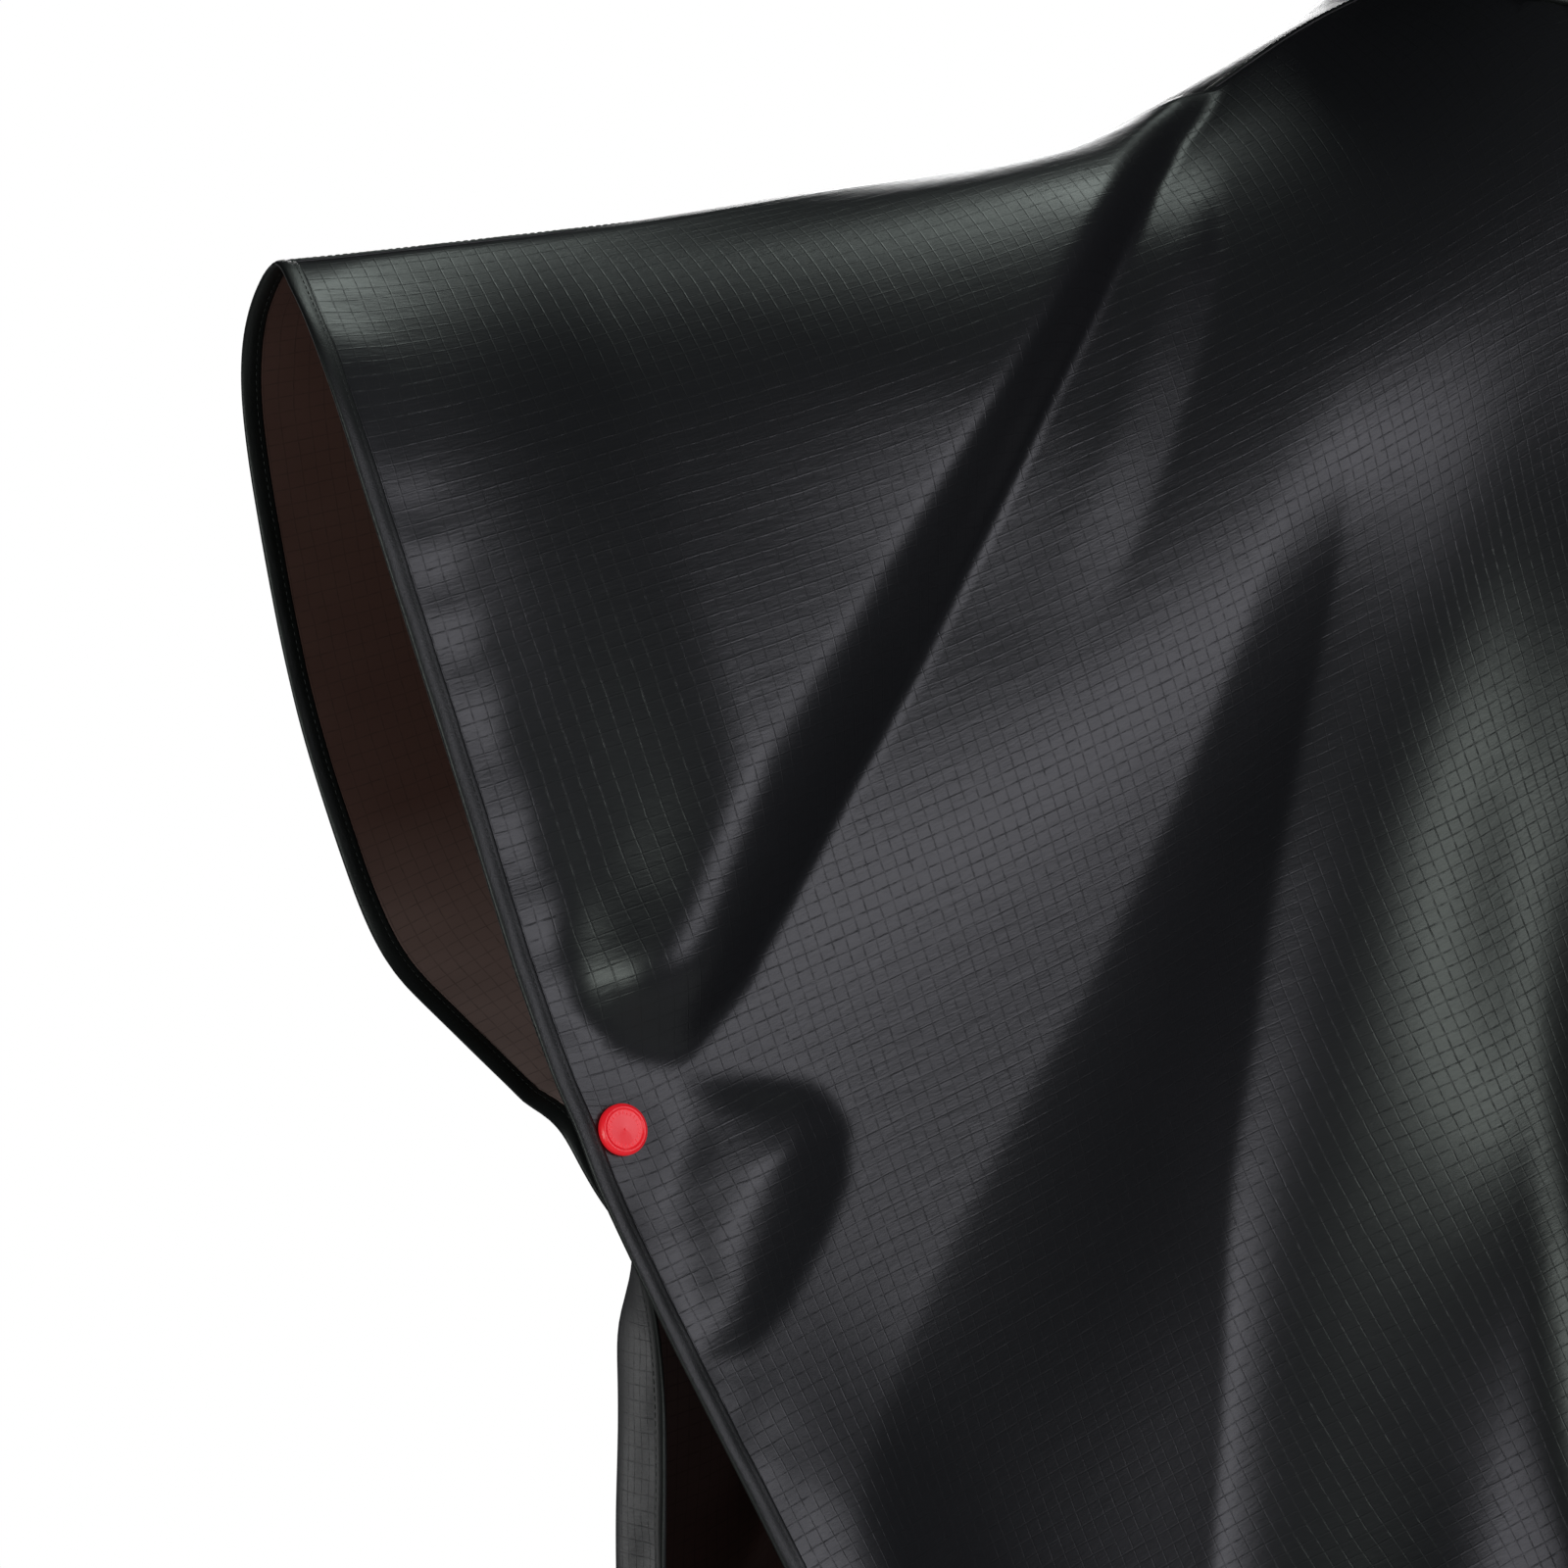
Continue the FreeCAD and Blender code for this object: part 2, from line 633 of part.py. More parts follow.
def export(name, solids):
    """Write one node."""
    solids = solids if isinstance(solids, list) else [solids]
    shape = solids[0] if len(solids) == 1 else Part.makeCompound(solids)
    shape.exportStep("parts/%s.step" % name)
    box = shape.BoundBox
    print("%-24s valid %-5s solids %d volume %10.0f x %7.1f %7.1f y %7.1f %7.1f z %7.1f %7.1f" % (
        name, shape.isValid(), len(shape.Solids), shape.Volume,
        box.XMin, box.XMax, box.YMin, box.YMax, box.ZMin, box.ZMax))


def main():
    os.makedirs("parts", exist_ok=True)
    nodes = dict(sheets())
    nodes.update(side_snaps())
    nodes.update(throat())
    nodes.update(hood())
    nodes.update(brim())
    nodes["neck_seam"] = neck_seam()
    nodes["left_shoulder_seam"] = shoulder_seam(1)
    nodes["right_shoulder_seam"] = shoulder_seam(-1)
    nodes.update(hanger())
    for name in nodes:
        export(name, nodes[name])


main()
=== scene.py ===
# %% [markdown]
# # A hooded rain poncho of light coated ripstop
# The poncho is one wide piece of cloth with a neck hole, bound all round its edge, with a hood sewn
# to the hole. Each side is closed by one red press stud, which makes a wide open sleeve. The packed
# CAD model holds the true sizes, the studs and the joints. Here every piece gets its real look.
# %% Load the frame
import json
import math
import bpy
import bmesh
import numpy as np
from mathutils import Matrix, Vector
from mathutils.bvhtree import BVHTree

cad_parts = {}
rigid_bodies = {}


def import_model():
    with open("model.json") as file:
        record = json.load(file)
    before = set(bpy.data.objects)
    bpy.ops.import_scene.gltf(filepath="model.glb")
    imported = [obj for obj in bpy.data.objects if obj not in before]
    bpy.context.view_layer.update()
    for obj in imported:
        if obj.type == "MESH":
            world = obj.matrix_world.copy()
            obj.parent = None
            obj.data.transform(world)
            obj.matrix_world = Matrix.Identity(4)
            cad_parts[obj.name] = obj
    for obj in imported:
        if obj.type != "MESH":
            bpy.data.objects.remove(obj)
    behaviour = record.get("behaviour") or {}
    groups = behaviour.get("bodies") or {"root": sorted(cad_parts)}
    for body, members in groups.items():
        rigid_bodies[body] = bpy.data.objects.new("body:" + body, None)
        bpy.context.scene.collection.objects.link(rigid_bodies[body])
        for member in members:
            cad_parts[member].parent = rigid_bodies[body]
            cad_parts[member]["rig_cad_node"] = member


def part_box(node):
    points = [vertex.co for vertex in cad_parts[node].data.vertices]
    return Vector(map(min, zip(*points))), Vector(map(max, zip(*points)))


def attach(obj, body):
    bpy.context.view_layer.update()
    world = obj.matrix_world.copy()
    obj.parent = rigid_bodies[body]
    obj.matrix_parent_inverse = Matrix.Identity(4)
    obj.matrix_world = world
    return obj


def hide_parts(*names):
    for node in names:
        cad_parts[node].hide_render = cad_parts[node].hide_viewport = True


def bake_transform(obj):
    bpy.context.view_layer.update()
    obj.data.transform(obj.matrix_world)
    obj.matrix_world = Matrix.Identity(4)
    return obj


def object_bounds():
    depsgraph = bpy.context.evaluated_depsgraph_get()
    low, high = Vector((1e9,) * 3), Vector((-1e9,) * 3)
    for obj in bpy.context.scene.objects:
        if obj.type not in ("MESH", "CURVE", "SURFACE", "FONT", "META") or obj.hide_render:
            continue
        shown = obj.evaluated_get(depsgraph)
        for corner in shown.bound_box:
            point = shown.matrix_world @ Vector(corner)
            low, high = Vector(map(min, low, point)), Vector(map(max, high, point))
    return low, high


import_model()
cad_box = [[float(value) for value in corner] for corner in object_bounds()]
scene = bpy.context.scene
MM = 0.001

# %% [markdown]
# ## Measuring the CAD model
# The cloth is held where the CAD bindings, seams and studs are, so those are measured first. A thin
# strip is cut by level planes, and the middle of each cut is a point of its centre line. A press
# stud's axis runs from its rivet to its cap, because the two share it.
# %% Helpers that read the CAD meshes
def cad_bmesh(node):
    mesh = bmesh.new()
    mesh.from_mesh(frame_objects[node].data)
    return mesh


def find_objects():
    """The CAD node objects by node name."""
    found = {}
    for item in bpy.data.objects:
        if "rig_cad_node" in item:
            found[item["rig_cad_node"]] = item
    return found


frame_objects = find_objects()
print("CAD nodes", sorted(frame_objects)[:4], "and", len(frame_objects) - 4, "more")


def centre_line(node, axis, levels, side):
    """Middle of a CAD strip where it crosses planes at these levels along an axis."""
    points = []
    normal = Vector([1.0 if i == axis else 0.0 for i in range(3)])
    for level in levels:
        mesh = cad_bmesh(node)
        everything = mesh.verts[:] + mesh.edges[:] + mesh.faces[:]
        cut = bmesh.ops.bisect_plane(mesh, geom=everything, plane_co=normal * level, plane_no=normal)
        cut_points = [v.co for v in cut["geom_cut"] if isinstance(v, bmesh.types.BMVert)]
        cut_points = [p for p in cut_points if side == 0 or p.x * side > 0]
        if cut_points:
            low = np.min([tuple(p) for p in cut_points], axis=0)
            high = np.max([tuple(p) for p in cut_points], axis=0)
            points.append((low + high) / 2)
        mesh.free()
    return np.array(points)


def islands(node):
    """Boxes of the separate solids in a CAD node, as (low, high) pairs."""
    mesh = cad_bmesh(node)
    bmesh.ops.remove_doubles(mesh, verts=mesh.verts[:], dist=1e-6)
    mesh.verts.ensure_lookup_table()
    seen = set()
    boxes = []
    for first in mesh.verts:
        if first.index in seen:
            continue
        group = []
        waiting = [first]
        seen.add(first.index)
        while waiting:
            vert = waiting.pop()
            group.append(tuple(vert.co))
            for edge in vert.link_edges:
                other = edge.other_vert(vert)
                if other.index not in seen:
                    seen.add(other.index)
                    waiting.append(other)
        group = np.array(group)
        boxes.append((group.min(axis=0), group.max(axis=0), group))
    mesh.free()
    return boxes


def press_studs(cap_node, rivet_node):
    """(centre on the cloth face under the cap, axis) of each press stud."""
    found = []
    rivets = [(low + high) / 2 for low, high, group in islands(rivet_node)]
    for low, high, group in islands(cap_node):
        middle = (low + high) / 2
        rivet = min(rivets, key=lambda place: float(np.linalg.norm(place - middle)))
        axis = (middle - rivet) / np.linalg.norm(middle - rivet)
        top = float(((group - middle) @ axis).max())
        found.append((middle + axis * (top - CAP_HEIGHT), axis))
    return found


CAP_HEIGHT = 3.4 * MM
CAD_CLOTH = 1.2 * MM
side_studs = sorted(press_studs("side_caps", "side_stud_rivets"), key=lambda stud: stud[0][0])
throat_studs = sorted(press_studs("throat_caps", "throat_stud_rivets"), key=lambda stud: -stud[0][2])
for place, axis in side_studs + throat_studs:
    print("stud at", np.round(place, 4), "axis", np.round(axis, 3))

# %% [markdown]
# ## Camera, floor and light
# The camera looks level at the wearer's right side, from a little in front. A dark coated cloth shows
# its folds by what it mirrors, so the light is a few broad soft panels with dark gaps between them,
# over a pale floor and a white backdrop that only the camera sees.
# %% Camera
AZIMUTH = math.radians(-28.0)
VIEW_WIDTH = 0.672
VIEW_DISTANCE = 2.4
SENSOR = 36.0
view_right = Vector((math.cos(AZIMUTH), math.sin(AZIMUTH), 0.0))
view_ahead = Vector((-math.sin(AZIMUTH), math.cos(AZIMUTH), 0.0))
right_stud = Vector(side_studs[0][0])
aim = view_right * (right_stud.dot(view_right) + 0.0606) + Vector((0.0, 0.0, right_stud.z + 0.129))
camera = bpy.data.objects.new("camera", bpy.data.cameras.new("camera"))
scene.collection.objects.link(camera)
camera.data.sensor_width = SENSOR
camera.data.lens = SENSOR * VIEW_DISTANCE / VIEW_WIDTH
camera.location = aim - view_ahead * VIEW_DISTANCE
camera.rotation_mode = "QUATERNION"
camera.rotation_quaternion = view_ahead.to_track_quat("-Z", "Y")
scene.camera = camera
print("camera at", tuple(round(value, 3) for value in camera.location))


# %% Floor and lights
def link(name, data):
    item = bpy.data.objects.new(name, data)
    scene.collection.objects.link(item)
    return item


def mesh_piece(name, mesh, *materials):
    """Turn a bmesh into a linked object with these materials, and free it."""
    data = bpy.data.meshes.new(name)
    mesh.to_mesh(data)
    mesh.free()
    for material in materials:
        data.materials.append(material)
    return link(name, data)


def attached(piece, body, slot, *nodes):
    """Let a piece ride on a body and stand for CAD nodes, which are hidden; the slot is not used."""
    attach(piece, body)
    if nodes:
        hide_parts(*nodes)
    return piece


def studio_floor(radius, drop, steps):
    mesh = bmesh.new()
    bmesh.ops.create_circle(mesh, cap_ends=True, radius=radius, segments=steps)
    item = mesh_piece("studio_floor", mesh)
    item.location = (0.0, 0.0, cad_box[0][2] - drop)
    return item


def soft_light(name, place, aim_at, width, height, watts, spread, tint=(1.0, 1.0, 1.0)):
    """A soft rectangular panel that faces a point."""
    data = bpy.data.lights.new(name, "AREA")
    data.shape = "RECTANGLE"
    data.size = width
    data.size_y = height
    data.energy = watts
    data.color = tint
    data.spread = math.radians(spread)
    item = link(name, data)
    item.location = place
    item.visible_camera = False
    item.rotation_mode = "QUATERNION"
    item.rotation_quaternion = (Vector(aim_at) - Vector(place)).to_track_quat("-Z", "Y")
    return item


floor = studio_floor(1.5, 0.10, 96)
chest = Vector((-0.2, -0.1, -0.35))
soft_light("key_panel", (0.52, -3.15, 0.12), chest, 2.4, 1.2, 7.2, 80.0, (0.97, 0.96, 1.05))
soft_light("mouth_panel", (-2.36, -1.35, -0.55), chest, 0.8, 1.0, 4.0, 90.0, (0.93, 1.03, 0.96))
soft_light("left_panel", (-1.6, 2.6, -0.6), chest, 0.9, 1.6, 1.3, 90.0)
soft_light("top_panel", (0.7, 0.1, 2.1), chest, 1.2, 1.0, 4.6, 90.0, (0.92, 1.04, 0.98))
soft_light("nape_panel", (1.2, 2.8, 0.7), chest, 1.2, 1.4, 9.0, 90.0)

# %% [markdown]
# ## A small language for shader maths
# A procedural finish is arithmetic on coordinates. One class wraps a socket, so that a line such as
# `1 - grid * 0.4` adds the Math nodes it needs. Colours are mixed by Mix nodes and vectors scaled by
# Vector Math, and any other node comes from the same one method of the finish.
# %% Socket maths
class Value:
    """A socket that can be added to, multiplied and so on."""

    def __init__(self, finish, socket):
        self.finish = finish
        self.socket = socket

    def math(self, operation, *others):
        node = self.finish.node("ShaderNodeMath", {"operation": operation}, [self, *others])
        return Value(self.finish, node.outputs[0])

    def __add__(self, other):
        return self.math("ADD", other)

    def __radd__(self, other):
        return self.math("ADD", other)

    def __sub__(self, other):
        return self.math("SUBTRACT", other)

    def __rsub__(self, other):
        return (self * -1.0) + other

    def __mul__(self, other):
        return self.math("MULTIPLY", other)

    def __rmul__(self, other):
        return self.math("MULTIPLY", other)

    def __truediv__(self, other):
        return self.math("DIVIDE", other)

    def limited(self):
        return self.math("MAXIMUM", 0.0).math("MINIMUM", 1.0)


class Finish:
    """A material being built round one Principled shader."""

    def __init__(self, name, roughness, **constants):
        self.material = bpy.data.materials.new(name)
        self.material.use_nodes = True
        self.tree = self.material.node_tree
        self.shader = self.tree.nodes["Principled BSDF"]
        self.shader.inputs["Roughness"].default_value = roughness
        for socket, value in constants.items():
            self.shader.inputs[socket.replace("_", " ")].default_value = value

    def node(self, kind, settings, inputs):
        """Any node: its settings first, then its sockets as a list in order or a dict by name."""
        made = self.tree.nodes.new(kind)
        for setting, value in settings.items():
            setattr(made, setting, value)
        pairs = inputs.items() if isinstance(inputs, dict) else enumerate(inputs)
        for key, value in pairs:
            if isinstance(value, Value):
                self.tree.links.new(value.socket, made.inputs[key])
            else:
                made.inputs[key].default_value = value
        return made

    def value(self, kind, settings, inputs, output=0):
        return Value(self, self.node(kind, settings, inputs).outputs[output])

    def place(self, attribute=None):
        """Coordinates: the flat cut's where the piece has them, or the piece's own."""
        if attribute:
            return self.value("ShaderNodeAttribute", {"attribute_name": attribute}, {}, "Vector")
        return self.value("ShaderNodeTexCoord", {}, {}, "Object")

    def part(self, vector, axis):
        return self.value("ShaderNodeSeparateXYZ", {}, [vector], axis)

    def scaled(self, vector, factors):
        return self.value("ShaderNodeVectorMath", {"operation": "MULTIPLY"}, [vector, factors])

    def noise(self, vector, scale, detail=3.0, roughness=0.5):
        settings = {"noise_dimensions": "3D"}
        inputs = {"Vector": vector, "Scale": scale, "Detail": detail, "Roughness": roughness}
        return self.value("ShaderNodeTexNoise", settings, inputs, "Fac")

    def lines(self, coordinate, pitch, share):
        """1 on lines at every pitch, 0 between them; share is the part of the pitch they take."""
        turn = (coordinate / pitch).math("FRACT")
        near = (turn - 0.5).math("ABSOLUTE") * 2.0
        return ((near - (1.0 - share)) / share).limited()

    def mixed(self, factor, one, two):
        """Two colours mixed by a factor."""
        settings = {"data_type": "RGBA"}
        node = self.node("ShaderNodeMix", settings, {0: factor})
        for index, colour in ((6, one), (7, two)):
            if isinstance(colour, Value):
                self.tree.links.new(colour.socket, node.inputs[index])
            else:
                node.inputs[index].default_value = (*colour, 1.0)
        return Value(self, node.outputs[2])

    def feed(self, socket, value):
        self.tree.links.new(value.socket, self.shader.inputs[socket])

    def bump(self, height, depth):
        """Small relief: height runs 0 to 1 over this many metres."""
        inputs = {"Strength": 1.0, "Distance": depth, "Height": height}
        node = self.node("ShaderNodeBump", {}, inputs)
        self.tree.links.new(node.outputs[0], self.shader.inputs["Normal"])


# %% [markdown]
# ## Finishes
# The cloth is a fine nylon with stronger threads woven in at every 6 mm, coated on its inner face. Its
# outside is nearly black with a broad cool gloss that comes from the threads, and the grid shows as
# faint lines. The coated inside is brown, and on the back near each side edge above the stud it is
# painted lighter, a painted backlight of light shining through the cloth. The grid is drawn in the flat cut's
# coordinates, so it follows the folds as woven threads do.
# %% Cloth, outside and inside
RIP_PITCH = 6.0 * MM


def ripstop(name, attribute, dark, light, roughness, grid_tint, thread_depth, painted_backlight=None):
    cloth = Finish(name, roughness, Specular_IOR_Level=0.5)
    cut = cloth.place(attribute)
    across, down = cloth.part(cut, 0), cloth.part(cut, 1)
    drift = cloth.noise(cut, 60.0, 2.0) * 0.0012
    warp = cloth.lines(across + drift, RIP_PITCH, 0.14)
    weft = cloth.lines(down + drift, RIP_PITCH, 0.14)
    broken = cloth.noise(cut, 240.0, 2.0)
    grid = warp.math("MAXIMUM", weft) * (broken * 1.5 - 0.2).limited()
    cloudy = cloth.noise(cut, 7.0, 3.0)
    ground = cloth.mixed(cloudy, dark, light)
    # Painted backlight: on the back's inside near each side edge, above the stud, the colour is mixed towards a
    # lighter tint that stands in for light shining through the cloth
    if painted_backlight:
        backlight_low_sleeve = ((down - 0.24) / 0.16).limited() * ((across.math("ABSOLUTE") - 0.40) / 0.08).limited()
        backlight_above_stud = ((0.60 - down) / 0.16).limited()
        ground = cloth.mixed(backlight_low_sleeve * backlight_above_stud, ground, painted_backlight)
    cloth.feed("Base Color", cloth.mixed(grid * 0.6, ground, grid_tint))
    crease = cloth.noise(cloth.scaled(cut, (0.35, 1.0, 1.0)), 130.0, 4.0, 0.6)
    slub = cloth.noise(cloth.scaled(cut, (0.15, 1.0, 1.0)), 900.0, 2.0)
    cloth.feed("Roughness", grid * 0.10 + cloudy * 0.05 + slub * 0.06 + (roughness - 0.06))
    cloth.bump(crease * 0.55 + slub * 0.16 + grid * 0.22, thread_depth)
    return cloth.material


outside = ripstop("ripstop_outside", "cut", (0.0105, 0.0115, 0.0120), (0.0150, 0.0145, 0.0170), 0.37,
                  (0.0040, 0.0040, 0.0042), 0.00035)
# The inside's last colour is the painted backlight, a lighter tint painted where light would shine through
inside = ripstop("ripstop_inside", "cut", (0.072, 0.026, 0.020), (0.110, 0.050, 0.040), 0.72,
                 (0.016, 0.007, 0.005), 0.00020, (0.30, 0.20, 0.19))
print("finishes", outside.name, inside.name)


# %% Tape, thread, stud plastic, metal and label
def woven_tape(name, dark, light, roughness, rib):
    """Narrow woven tape: fine ribs across it and a little wear on the crests."""
    tape = Finish(name, roughness, Specular_IOR_Level=0.5)
    place = tape.place()
    fibre = tape.noise(place, 1400.0, 2.0)
    soil = tape.noise(place, 40.0, 3.0)
    tape.feed("Base Color", tape.mixed(soil * 0.6 + fibre * 0.4, dark, light))
    tape.feed("Roughness", fibre * 0.15 + (roughness - 0.05))
    tape.bump(fibre * 0.7 + soil * 0.3, rib)
    return tape.material


def moulded(name, deep, bright, roughness, **constants):
    """Moulded plastic: a faint mottled skin with a soft sheen; an emission given in the constants is a painted
    glow, as the plastic is no lamp.
    """
    plastic = Finish(name, roughness, **constants)
    place = plastic.place()
    cloud = plastic.noise(place, 260.0, 3.0)
    fine = plastic.noise(place, 2600.0, 2.0)
    plastic.feed("Base Color", plastic.mixed(cloud, deep, bright))
    plastic.feed("Roughness", fine * 0.12 + (roughness - 0.04))
    plastic.bump(fine, 0.00003)
    return plastic.material


def drawn_metal(name, tint, roughness):
    metal = Finish(name, roughness, Metallic=1.0)
    place = metal.place()
    grain = metal.noise(metal.scaled(place, (1.0, 1.0, 12.0)), 700.0, 3.0)
    metal.feed("Base Color", metal.mixed(grain, tint, tuple(0.7 * value for value in tint)))
    metal.feed("Roughness", grain * 0.2 + (roughness - 0.1))
    metal.bump(grain, 0.00002)
    return metal.material


def pale_floor(name):
    ground = Finish(name, 0.6)
    speck = ground.noise(ground.place(), 30.0, 4.0)
    ground.feed("Base Color", ground.mixed(speck, (0.78, 0.78, 0.77), (0.82, 0.82, 0.81)))
    ground.feed("Roughness", speck * 0.1 + 0.55)
    return ground.material


tape = woven_tape("binding_tape", (0.0050, 0.0054, 0.0055), (0.0095, 0.0105, 0.0100), 0.42, 0.00012)
thread = woven_tape("sewing_thread", (0.012, 0.012, 0.012), (0.024, 0.025, 0.025), 0.55, 0.00004)
# The red cap's weak emission is a painted glow: it lifts the red as though lit, though the cap is no lamp
cap_red_painted_glow = moulded("stud_cap_red_painted_glow", (0.78, 0.012, 0.022), (0.86, 0.022, 0.034), 0.34, Coat_Weight=0.15,
                  Emission_Color=(0.80, 0.012, 0.020, 1.0), Emission_Strength=0.42)
stud_black = moulded("stud_black", (0.014, 0.014, 0.015), (0.024, 0.024, 0.026), 0.38)
spring_steel = drawn_metal("spring_steel", (0.62, 0.61, 0.59), 0.30)
label_white = woven_tape("label_satin", (0.62, 0.62, 0.60), (0.74, 0.74, 0.72), 0.55, 0.00006)
floor.data.materials.append(pale_floor("floor_pale"))
print("finishes", len(bpy.data.materials))

# %% [markdown]
# ## World
# The camera sees plain white, and the cloth mirrors a dim room, so its gloss comes from the panels.
# %% World
world = bpy.data.worlds.new("studio")
scene.world = world
world.use_nodes = True
world_nodes = world.node_tree.nodes
room = world_nodes["Background"]
room.inputs["Color"].default_value = (0.80, 0.85, 1.0, 1.0)
room.inputs["Strength"].default_value = 0.02
backdrop = world_nodes.new("ShaderNodeBackground")
backdrop.inputs["Color"].default_value = (1.0, 1.0, 1.0, 1.0)
choice = world_nodes.new("ShaderNodeMixShader")
ray = world_nodes.new("ShaderNodeLightPath")
world.node_tree.links.new(ray.outputs["Is Camera Ray"], choice.inputs[0])
world.node_tree.links.new(room.outputs[0], choice.inputs[1])
world.node_tree.links.new(backdrop.outputs[0], choice.inputs[2])
world.node_tree.links.new(choice.outputs[0], world_nodes["World Output"].inputs["Surface"])
scene.view_settings.view_transform = "Standard"

# %% [markdown]
# ## The wearer's shape, for the cloth to lie on
# Cloth hangs the way it does because of what is under it. A hidden form of shoulders, chest and arms
# held out carries the cloth while it settles, and it is deleted afterwards. Balls along each limb are
# joined by a voxel remesh into one smooth skin.
# %% Hidden form
def balls_along(start, end, first, last, count):
    places = []
    for share in np.linspace(0.0, 1.0, count):
        place = np.array(start) + (np.array(end) - np.array(start)) * share
        places.append((place, first + (last - first) * share))
    return places


def wearer_form():
    balls = balls_along((0, 0.01, -0.02), (0, 0, 0.06), 0.058, 0.056, 12)
    for side in (-1, 1):
        balls += balls_along((0, 0.012, -0.035), (side * 0.150, 0, -0.080), 0.052, 0.055, 30)
        balls += balls_along((side * 0.160, 0, -0.088), (side * 0.26, 0, -0.128), 0.060, 0.050, 20)
        balls += balls_along((side * 0.26, 0, -0.128), (side * 0.74, 0, -0.180), 0.050, 0.032, 80)
    mesh = bmesh.new()
    for place, radius in balls:
        made = bmesh.ops.create_icosphere(mesh, subdivisions=3, radius=radius)
        bmesh.ops.translate(mesh, verts=made["verts"], vec=place)
    trunk = (((0, 0, -0.36), (0.172, 0.118, 0.36)), ((0, 0, -0.85), (0.185, 0.12, 0.45)),
             ((0, -0.035, -0.22), (0.135, 0.108, 0.17)))
    for middle, radii in trunk:
        made = bmesh.ops.create_uvsphere(mesh, u_segments=48, v_segments=32, radius=1.0)
        bmesh.ops.scale(mesh, verts=made["verts"], vec=radii)
        bmesh.ops.translate(mesh, verts=made["verts"], vec=middle)
    form = mesh_piece("wearer_form", mesh)
    skin = form.modifiers.new("skin", "REMESH")
    skin.mode = "VOXEL"
    skin.voxel_size = 0.007
    form.modifiers.new("smooth", "SMOOTH").iterations = 25
    form.modifiers.new("fewer", "DECIMATE").ratio = 0.12
    settle(form)
    form.modifiers.new("solid", "COLLISION")
    form.collision.thickness_outer = 0.004
    form.collision.cloth_friction = 4.0
    form.collision.damping = 0.3
    return form


def settle(item):
    """Apply an object's modifiers to its mesh."""
    graph = bpy.context.evaluated_depsgraph_get()
    data = bpy.data.meshes.new_from_object(item.evaluated_get(graph))
    item.modifiers.clear()
    item.data = data
    return item


# %% [markdown]
# ## Where the cloth is held
# The cut is a rectangle with an oval neck hole. It is held round the neck seam, along the shoulder
# seam, down the bound edges beside the sleeves and at the two press studs. Each of those lines comes
# from the CAD pieces, as a distance along the cloth against a place in space.
# %% Lines that hold the cloth
def by_length(points):
    """Distances along a line of points, and the points."""
    steps = np.linalg.norm(np.diff(points, axis=0), axis=1)
    return np.concatenate([[0.0], np.cumsum(steps)]), points


def at_length(line, distance):
    return np.array([np.interp(distance, line[0], line[1][:, i]) for i in range(3)])


EDGE_LEVELS = 60
HALF_BINDING = 4.0 * MM
STUD_PULL_TOP = 0.054
STUD_PULL_FOOT = 0.004


def edge_line(node, side):
    """Free edge of a side binding, from the shoulder line down, straight just above the stud."""
    low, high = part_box(node)
    levels = np.linspace(high[2] - 3.0 * MM, low[2] + 3.0 * MM, EDGE_LEVELS)
    over_stud = levels - side_studs[0][0][2]
    levels = levels[(over_stud > STUD_PULL_TOP) | (over_stud < STUD_PULL_FOOT)]
    points = centre_line(node, 2, levels, side)
    points[:, 0] += side * HALF_BINDING
    start = points[0].copy()
    start[1] = 0.0
    start[2] = high[2] - 1.0 * MM
    return by_length(np.vstack([start, points]))


def ridge_line(node, side):
    """Shoulder seam from its sleeve end inwards."""
    low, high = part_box(node)
    outer, inner = max(abs(low[0]), abs(high[0])), min(abs(low[0]), abs(high[0]))
    levels = side * np.linspace(outer - 1.0 * MM, inner + 1.0 * MM, 40)
    return by_length(centre_line(node, 0, levels, side))


SIDES = {-1: "right", 1: "left"}
front_edge = {side: edge_line(f"front_{name}_binding", side) for side, name in SIDES.items()}
back_edge = {side: edge_line(f"back_{name}_binding", side) for side, name in SIDES.items()}
shoulder = {side: ridge_line(f"{name}_shoulder_seam", side) for side, name in SIDES.items()}
for side, name in SIDES.items():
    print(name, "front edge", round(front_edge[side][0][-1], 3),
          "back edge", round(back_edge[side][0][-1], 3),
          "shoulder", round(shoulder[side][0][-1], 3))

# %% Flat cut
HALF_CUT = 0.635
FRONT_CUT = 0.98
BACK_CUT = 1.05
CELL = 0.018
seam_low, seam_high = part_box("neck_seam")
SEAM_RADIUS = 2.2 * MM
NECK_X = (seam_high[0] - seam_low[0]) / 2 - SEAM_RADIUS
NECK_Y = (seam_high[1] - seam_low[1]) / 2 - SEAM_RADIUS
NECK_MID = (seam_high[1] + seam_low[1]) / 2
NECK_RISE = (seam_high[2] - seam_low[2] - 2 * SEAM_RADIUS) / (2 * NECK_Y)
NECK_Z = (seam_high[2] + seam_low[2]) / 2
print("neck hole", round(NECK_X, 4), round(NECK_Y, 4), "middle", round(NECK_MID, 4), round(NECK_Z, 4))


def neck_height(y):
    reach = min(max(y - NECK_MID, -NECK_Y * 1.2), NECK_Y * 1.2)
    return NECK_Z + NECK_RISE * reach


